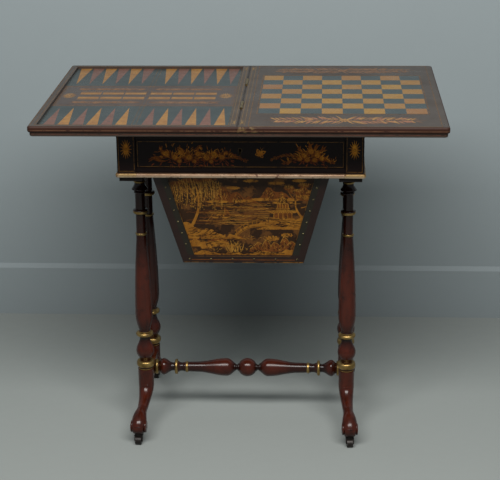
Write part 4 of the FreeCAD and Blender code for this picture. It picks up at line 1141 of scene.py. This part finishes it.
def strokes(x, y, rx, ry, count, angle, swing, long, width):
    """Short strokes strewn over an oval, as a brush leaves them."""
    made = []
    for k in range(count):
        way, reach = pick.uniform(0, 2 * pi), sqrt(pick.random())
        made.append(leaf(x + rx * reach * cos(way), y + ry * reach * sin(way),
                         angle + pick.uniform(-swing, swing), long * pick.uniform(0.6, 1.3),
                         width * pick.uniform(0.7, 1.2), pick.uniform(-0.2, 0.2), 4))
    return made


pick = random.Random(40)
gold, rust, dark, light = [], [], [], []

# Far hills with cloud banks
rust += [land(-70, 40, 150, [(-38, 38, 17), (-8, 24, 14), (18, 15, 10)]),
         land(10, 160, 156, [(56, 32, 15), (84, 20, 14), (126, 36, 16)])]
for x, y, rx in ((-50, 152, 26), (4, 154, 22), (40, 158, 24), (92, 158, 30), (132, 166, 22), (-16, 186, 15),
                 (72, 198, 18), (20, 203, 17), (118, 204, 16)):
    gold.append(clump(x, y, rx, 4.2, 13, 0.3))
for x, y, w in ((-38, 186, 12), (-8, 172, 9), (56, 186, 11), (126, 190, 12), (84, 174, 9)):
    dark += strokes(x, y - 14, w, 13, 20, -66, 12, 9, 1.1)
    light += strokes(x, y - 12, w, 13, 12, -112, 12, 8, 0.8)

# Lake
for k in range(34):
    y = 94 + 1.65 * k
    x = pick.uniform(-110, 60)
    light.append(wave(x, x + pick.uniform(30, 84), y, 0.5, 0.6))
    rust.append(wave(x - 26, x + pick.uniform(20, 60), y + 0.9, 0.6, 1.0))

# Near shore on the left
gold += [land(-140, 26, 60, [(-118, 42, 26), (-70, 24, 24), (-24, 11, 18)]),
         land(-130, -6, 40, [(-100, 18, 24), (-48, 16, 26)], 2.0)]
rust += [clump(-96, 66, 22, 9, 11), clump(-52, 54, 24, 8, 9), clump(-14, 64, 15, 6, 9)]
dark += strokes(-84, 76, 34, 15, 54, 12, 24, 12, 1.2) + strokes(-50, 54, 46, 10, 40, 4, 18, 12, 1.1)

# Island on the right
gold += [land(26, 150, 96, [(52, 12, 17), (92, 18, 22), (134, 27, 18)]),
         land(30, 150, 84, [(60, 10, 20), (110, 14, 26)], 1.8)]
dark += strokes(96, 98, 42, 10, 60, 6, 22, 11, 1.1)

# Pavilion on the island, in two floors
hall = 84
for wide, low, height in ((25, 112.0, 14.0), (15, 137.0, 12.0)):
    for k in range(5):
        x = hall - wide * 0.74 + wide * 1.48 * k / 4
        gold.append(rect(x - 1.1, low, x + 1.1, low + height))
    rust.append(rect(hall - wide * 0.7, low + 1, hall + wide * 0.7, low + height - 1))
    gold.append(rect(hall - wide * 0.95, low - 2.4, hall + wide * 0.95, low))
    eave = low + height
    roof = ((-wide - 7, 3.4), (-wide, -0.8), (wide, -0.8), (wide + 7, 3.4), (wide * 0.62, 5.0),
            (wide * 0.34, 10.5), (-wide * 0.34, 10.5), (-wide * 0.62, 5.0))
    gold.append([(hall + across, eave + up) for across, up in roof])
    for k in range(9):
        x = -wide * 0.8 + wide * 1.6 * k / 8
        dark.append(stem([(hall + x, eave), (hall + x * 0.45, eave + 10)], 0.7))
gold += [leaf(hall, 158, 90, 12, 3.4), disc(hall, 171, 1.8)]

# Pine on the island
gold += [stem(bow(128, 108, 112, 170, 9, 14), 5.2, 2.0), stem(bow(121, 138, 142, 152, -3, 8), 2.2, 1.0),
         stem(bow(114, 156, 96, 178, 3, 8), 1.8, 0.8)]
for x, y, rx in ((112, 178, 19), (136, 160, 16), (97, 186, 12), (128, 193, 15), (140, 176, 12)):
    rust.append(clump(x, y, rx, 6.2, 11))
    light += strokes(x, y, rx * 0.8, 3.6, 26, 90, 40, 5.5, 0.8)

# Arched bridge from the shore to the island
arch_low, arch_high = bow(-12, 66, 52, 88, 11, 16), bow(-16, 72, 56, 94, 13, 16)
gold.append(arch_low + arch_high[::-1])
for x, y in arch_high[1:16:2]:
    gold.append(rect(x - 0.7, y, x + 0.7, y + 7))
gold.append(stem([(x, y + 7.4) for x, y in arch_high], 1.2))
dark.append(stem([(x, y + 2.2) for x, y in arch_low], 0.8))

# Boat
gold += [[(-64, 116), (-56, 111.5), (-32, 111.5), (-22, 117.5), (-31, 115.2), (-55, 114.6)],
         clump(-44, 118.4, 9, 3.4, 7), stem([(-38, 115), (-34, 140)], 1.0),
         stem([(-60, 121), (-70, 107)], 0.8)]
rust.append([(-36, 120), (-34.5, 138), (-22, 122)])

# Willow on the left
gold += [stem(bow(-104, 92, -92, 190, -10, 16), 6.5, 2.6), stem(bow(-97, 150, -60, 200, 6, 10), 2.6, 1.2),
         stem(bow(-96, 168, -128, 206, -6, 10), 2.4, 1.2)]
for k in range(34):
    x = -140 + 2.9 * k + pick.uniform(-1.5, 1.5)
    top = 210 - 0.0035 * (x + 90) ** 2 - pick.uniform(0, 10)
    long = pick.uniform(34, 74)
    tone = light if k % 3 else gold
    tone.append(stem(bow(x, top, x + pick.uniform(-5, 9), top - long, 2.4, 10), 1.1, 0.5))
    for j in range(7):
        light.append(leaf(x + pick.uniform(-1, 5), top - long * (j + 0.5) / 7, -70 + pick.uniform(-30, 30),
                          5.0, 1.1, 0, 4))
rust += [clump(-96, 204, 26, 8, 13), clump(-66, 207, 20, 6, 11), clump(-128, 196, 16, 7, 9)]

# Rocks, reeds and low plants in front
gold.append(land(-105, 112, 17, [(-82, 13, 28), (-20, 9, 24), (42, 12, 26), (96, 17, 20)], 1.4))
for x, y, w, h in ((34, 30, 13, 22), (50, 28, 11, 30), (68, 28, 14, 24), (88, 32, 12, 34), (102, 30, 12, 26),
                   (22, 27, 9, 13)):
    crest = [(x - w * 0.8, y + h * 0.55), (x - w * 0.25, y + h), (x + w * 0.35, y + h * 0.84),
             (x + w * 0.9, y + h * 0.4)]
    rust.append([(x - w, y), *crest, (x + w, y)])
    light += [stem(crest, 1.1, 0.6), stem([crest[1], (x - w * 0.1, y + h * 0.3)], 0.8, 0.4)]
    dark += strokes(x, y + h * 0.4, w * 0.6, h * 0.3, 9, -62, 14, 8, 1.0)
for k in range(26):
    x = -18 + pick.uniform(-15, 15)
    light.append(leaf(x, 25, 90 + pick.uniform(-22, 22), pick.uniform(16, 34), 1.5, pick.uniform(-0.2, 0.2)))
gold += [clump(62, 62, 15, 7, 9), clump(92, 70, 13, 6, 9), clump(-76, 38, 13, 6, 9)]
dark += strokes(62, 62, 12, 5, 22, 70, 40, 5, 0.9) + strokes(92, 70, 10, 4, 18, 70, 40, 5, 0.9)
dark += strokes(0, 23, 92, 4, 70, 4, 20, 9, 1.0)
light += strokes(0, 46, 96, 24, 90, 20, 60, 6, 0.8)

picture.paint("picture_ground", picture_ground, [field], 0.03)
picture.paint("picture_rust", picture_rust, inside(rust), 0.05)
picture.paint("picture_gold", picture_gold, inside(gold), 0.10)
picture.paint("picture_dark", picture_dark, inside(dark), 0.15)
picture.paint("picture_light", picture_light, inside(light), 0.20)

# Dark border round the picture, with what is left of its gilt
border_face = Vector((0, -box_low_half_y, box_low)) + X.cross(slope) * box_border_thick
border = Surface("work_box", "box_lacquer", border_face, X, slope)
worn_edge = [rect(x0, low, x1, high) for x0, x1, low, high in
             ((-124, -72, 0.5, 2.0), (-64, -20, 0.5, 1.6), (-2, 30, 0.5, 1.9), (44, 70, 0.5, 1.5),
              (76, 125, 0.4, 2.8))]
bands = []
for side in (-1, 1):
    for k in range(5):
        worn_edge.append(stem([(side * half_width(v, -0.7), v) for v in (22.0 + 37 * k, 52.0 + 37 * k)], 0.7))
    bands.append([(side * (half_width(v, 0.2) + wide), v)
                  for v, wide in ((20.0, 0), (214.0, 0), (214.0, 13.0), (20.0, 13.0))])
worn_edge.append(rect(-98, 16.4, 99, 17.1))
border.paint("border_inner_bands", border_dark, bands, 0.05)
border.paint("border_bottom_line", gold_dull, [rect(-108, 7.4, 108, 8.3)], 0.06)
border.paint("border_worn_gilt", gold_line, worn_edge, 0.10)


# Stage, lights and camera, in metres

floor_half = 7.0
wall_half, wall_y, wall_top = 4.5, 0.57, 3.4
skirting_top, skirting_deep = 0.128, 0.010


def stage_finish(name, colour, change):
    """Matt paint that shows only from its front, so that a view from behind sees through it."""
    g = Graph(name)
    g.set(colour=g.mix(g.noise(2.2, 5.0), colour, tuple(c * change for c in colour)), level=0.2,
          rough=g.span(g.noise(30.0), 0.3, 0.7, 0.75, 0.95), normal=g.bump(g.noise(220.0), 0.1, 0.3))
    behind = g.add("ShaderNodeNewGeometry").outputs["Backfacing"]
    clear = g.add("ShaderNodeBsdfTransparent").outputs[0]
    choice = g.add("ShaderNodeMixShader", {0: behind, 1: g.shader.outputs[0], 2: clear})
    g.put(g.out.inputs[0], choice.outputs[0])
    return g.material


def stage_piece(name, verts, faces, finish):
    mesh = bpy.data.meshes.new(name)
    mesh.from_pydata(verts, [], faces)
    mesh.materials.append(finish)
    made = bpy.data.objects.new(name, mesh)
    scene.collection.objects.link(made)


floor = [(x, y, 0) for x, y in rect(-floor_half, -floor_half, floor_half, floor_half)]
skirting = [(wall_y, 0.0), (wall_y, skirting_top),
            (wall_y + skirting_deep, skirting_top + skirting_deep), (wall_y + skirting_deep, wall_top)]
wall = [(x, y, z) for y, z in skirting for x in (-wall_half, wall_half)]
wall_paint = stage_finish("wall_paint", (0.276, 0.318, 0.332), 0.94)
floor_paint = stage_finish("floor_paint", (0.278, 0.302, 0.292), 0.95)
stage_piece("floor", floor, [[0, 1, 2, 3]], floor_paint)
stage_piece("wall", wall, [[k, k + 1, k + 3, k + 2] for k in (0, 2, 4)], wall_paint)


def lamp(name, place, aim, size, power, colour):
    data = bpy.data.lights.new(name, "AREA")
    data.shape = "RECTANGLE"
    data.size, data.size_y = size
    data.energy, data.color = power, colour
    made = bpy.data.objects.new(name, data)
    made.location = place
    made.rotation_euler = (Vector(aim) - Vector(place)).to_track_quat("-Z", "Y").to_euler()
    scene.collection.objects.link(made)


lamp("key", (0.05, -1.75, 2.60), (0, 0, 0.4), (3.1, 0.9), 120, (1.0, 0.985, 0.96))
lamp("behind", (0.5, 2.6, 2.3), (0, 0, 0.6), (1.5, 1.0), 8, (1.0, 1.0, 1.0))

# The camera, reflections and glass see one colour of the world, and the light it gives is another
world = bpy.data.worlds.new("studio")
scene.world = world
sky = Nodes(world)
seen = sky.add("ShaderNodeBackground", {0: (0.235, 0.275, 0.292)})
given = sky.add("ShaderNodeBackground", {0: (0.96, 0.98, 1.0), 1: 0.11})
path = sky.add("ShaderNodeLightPath").outputs
direct = path["Is Camera Ray"]
for name in ("Is Glossy Ray", "Is Transmission Ray"):
    direct = sky.add("ShaderNodeMath", {0: direct, 1: path[name]}, operation="MAXIMUM").outputs[0]
choice = sky.add("ShaderNodeMixShader", {0: direct, 1: given.outputs[0], 2: seen.outputs[0]})
sky.add("ShaderNodeOutputWorld", {0: choice.outputs[0]})

# The camera stands where a fit to the photograph's perspective puts it
image_width = 500.0
focal_pixels = 1491.0
sensor_width = 36.0
eye = Vector((166.68, -3045.26, 1459.02)) * MM
yaw, pitch, roll = 0.0519, -0.3325, -0.0101
ahead = Vector((-cos(pitch) * sin(yaw), cos(pitch) * cos(yaw), sin(pitch)))
flat = Vector((cos(yaw), sin(yaw), 0))
lift = Vector((sin(pitch) * sin(yaw), -sin(pitch) * cos(yaw), cos(pitch)))
side = flat * cos(roll) + lift * sin(roll)
above = lift * cos(roll) - flat * sin(roll)
matrix = Matrix((side, above, -ahead)).transposed().to_4x4()
matrix.translation = eye
data = bpy.data.cameras.new("camera")
data.sensor_fit = "HORIZONTAL"
data.sensor_width = sensor_width
data.lens = focal_pixels / image_width * sensor_width
data.clip_start, data.clip_end = 0.05, 60.0
camera = bpy.data.objects.new("camera", data)
camera.matrix_world = matrix
scene.collection.objects.link(camera)
scene.camera = camera
scene.view_settings.view_transform = "Standard"
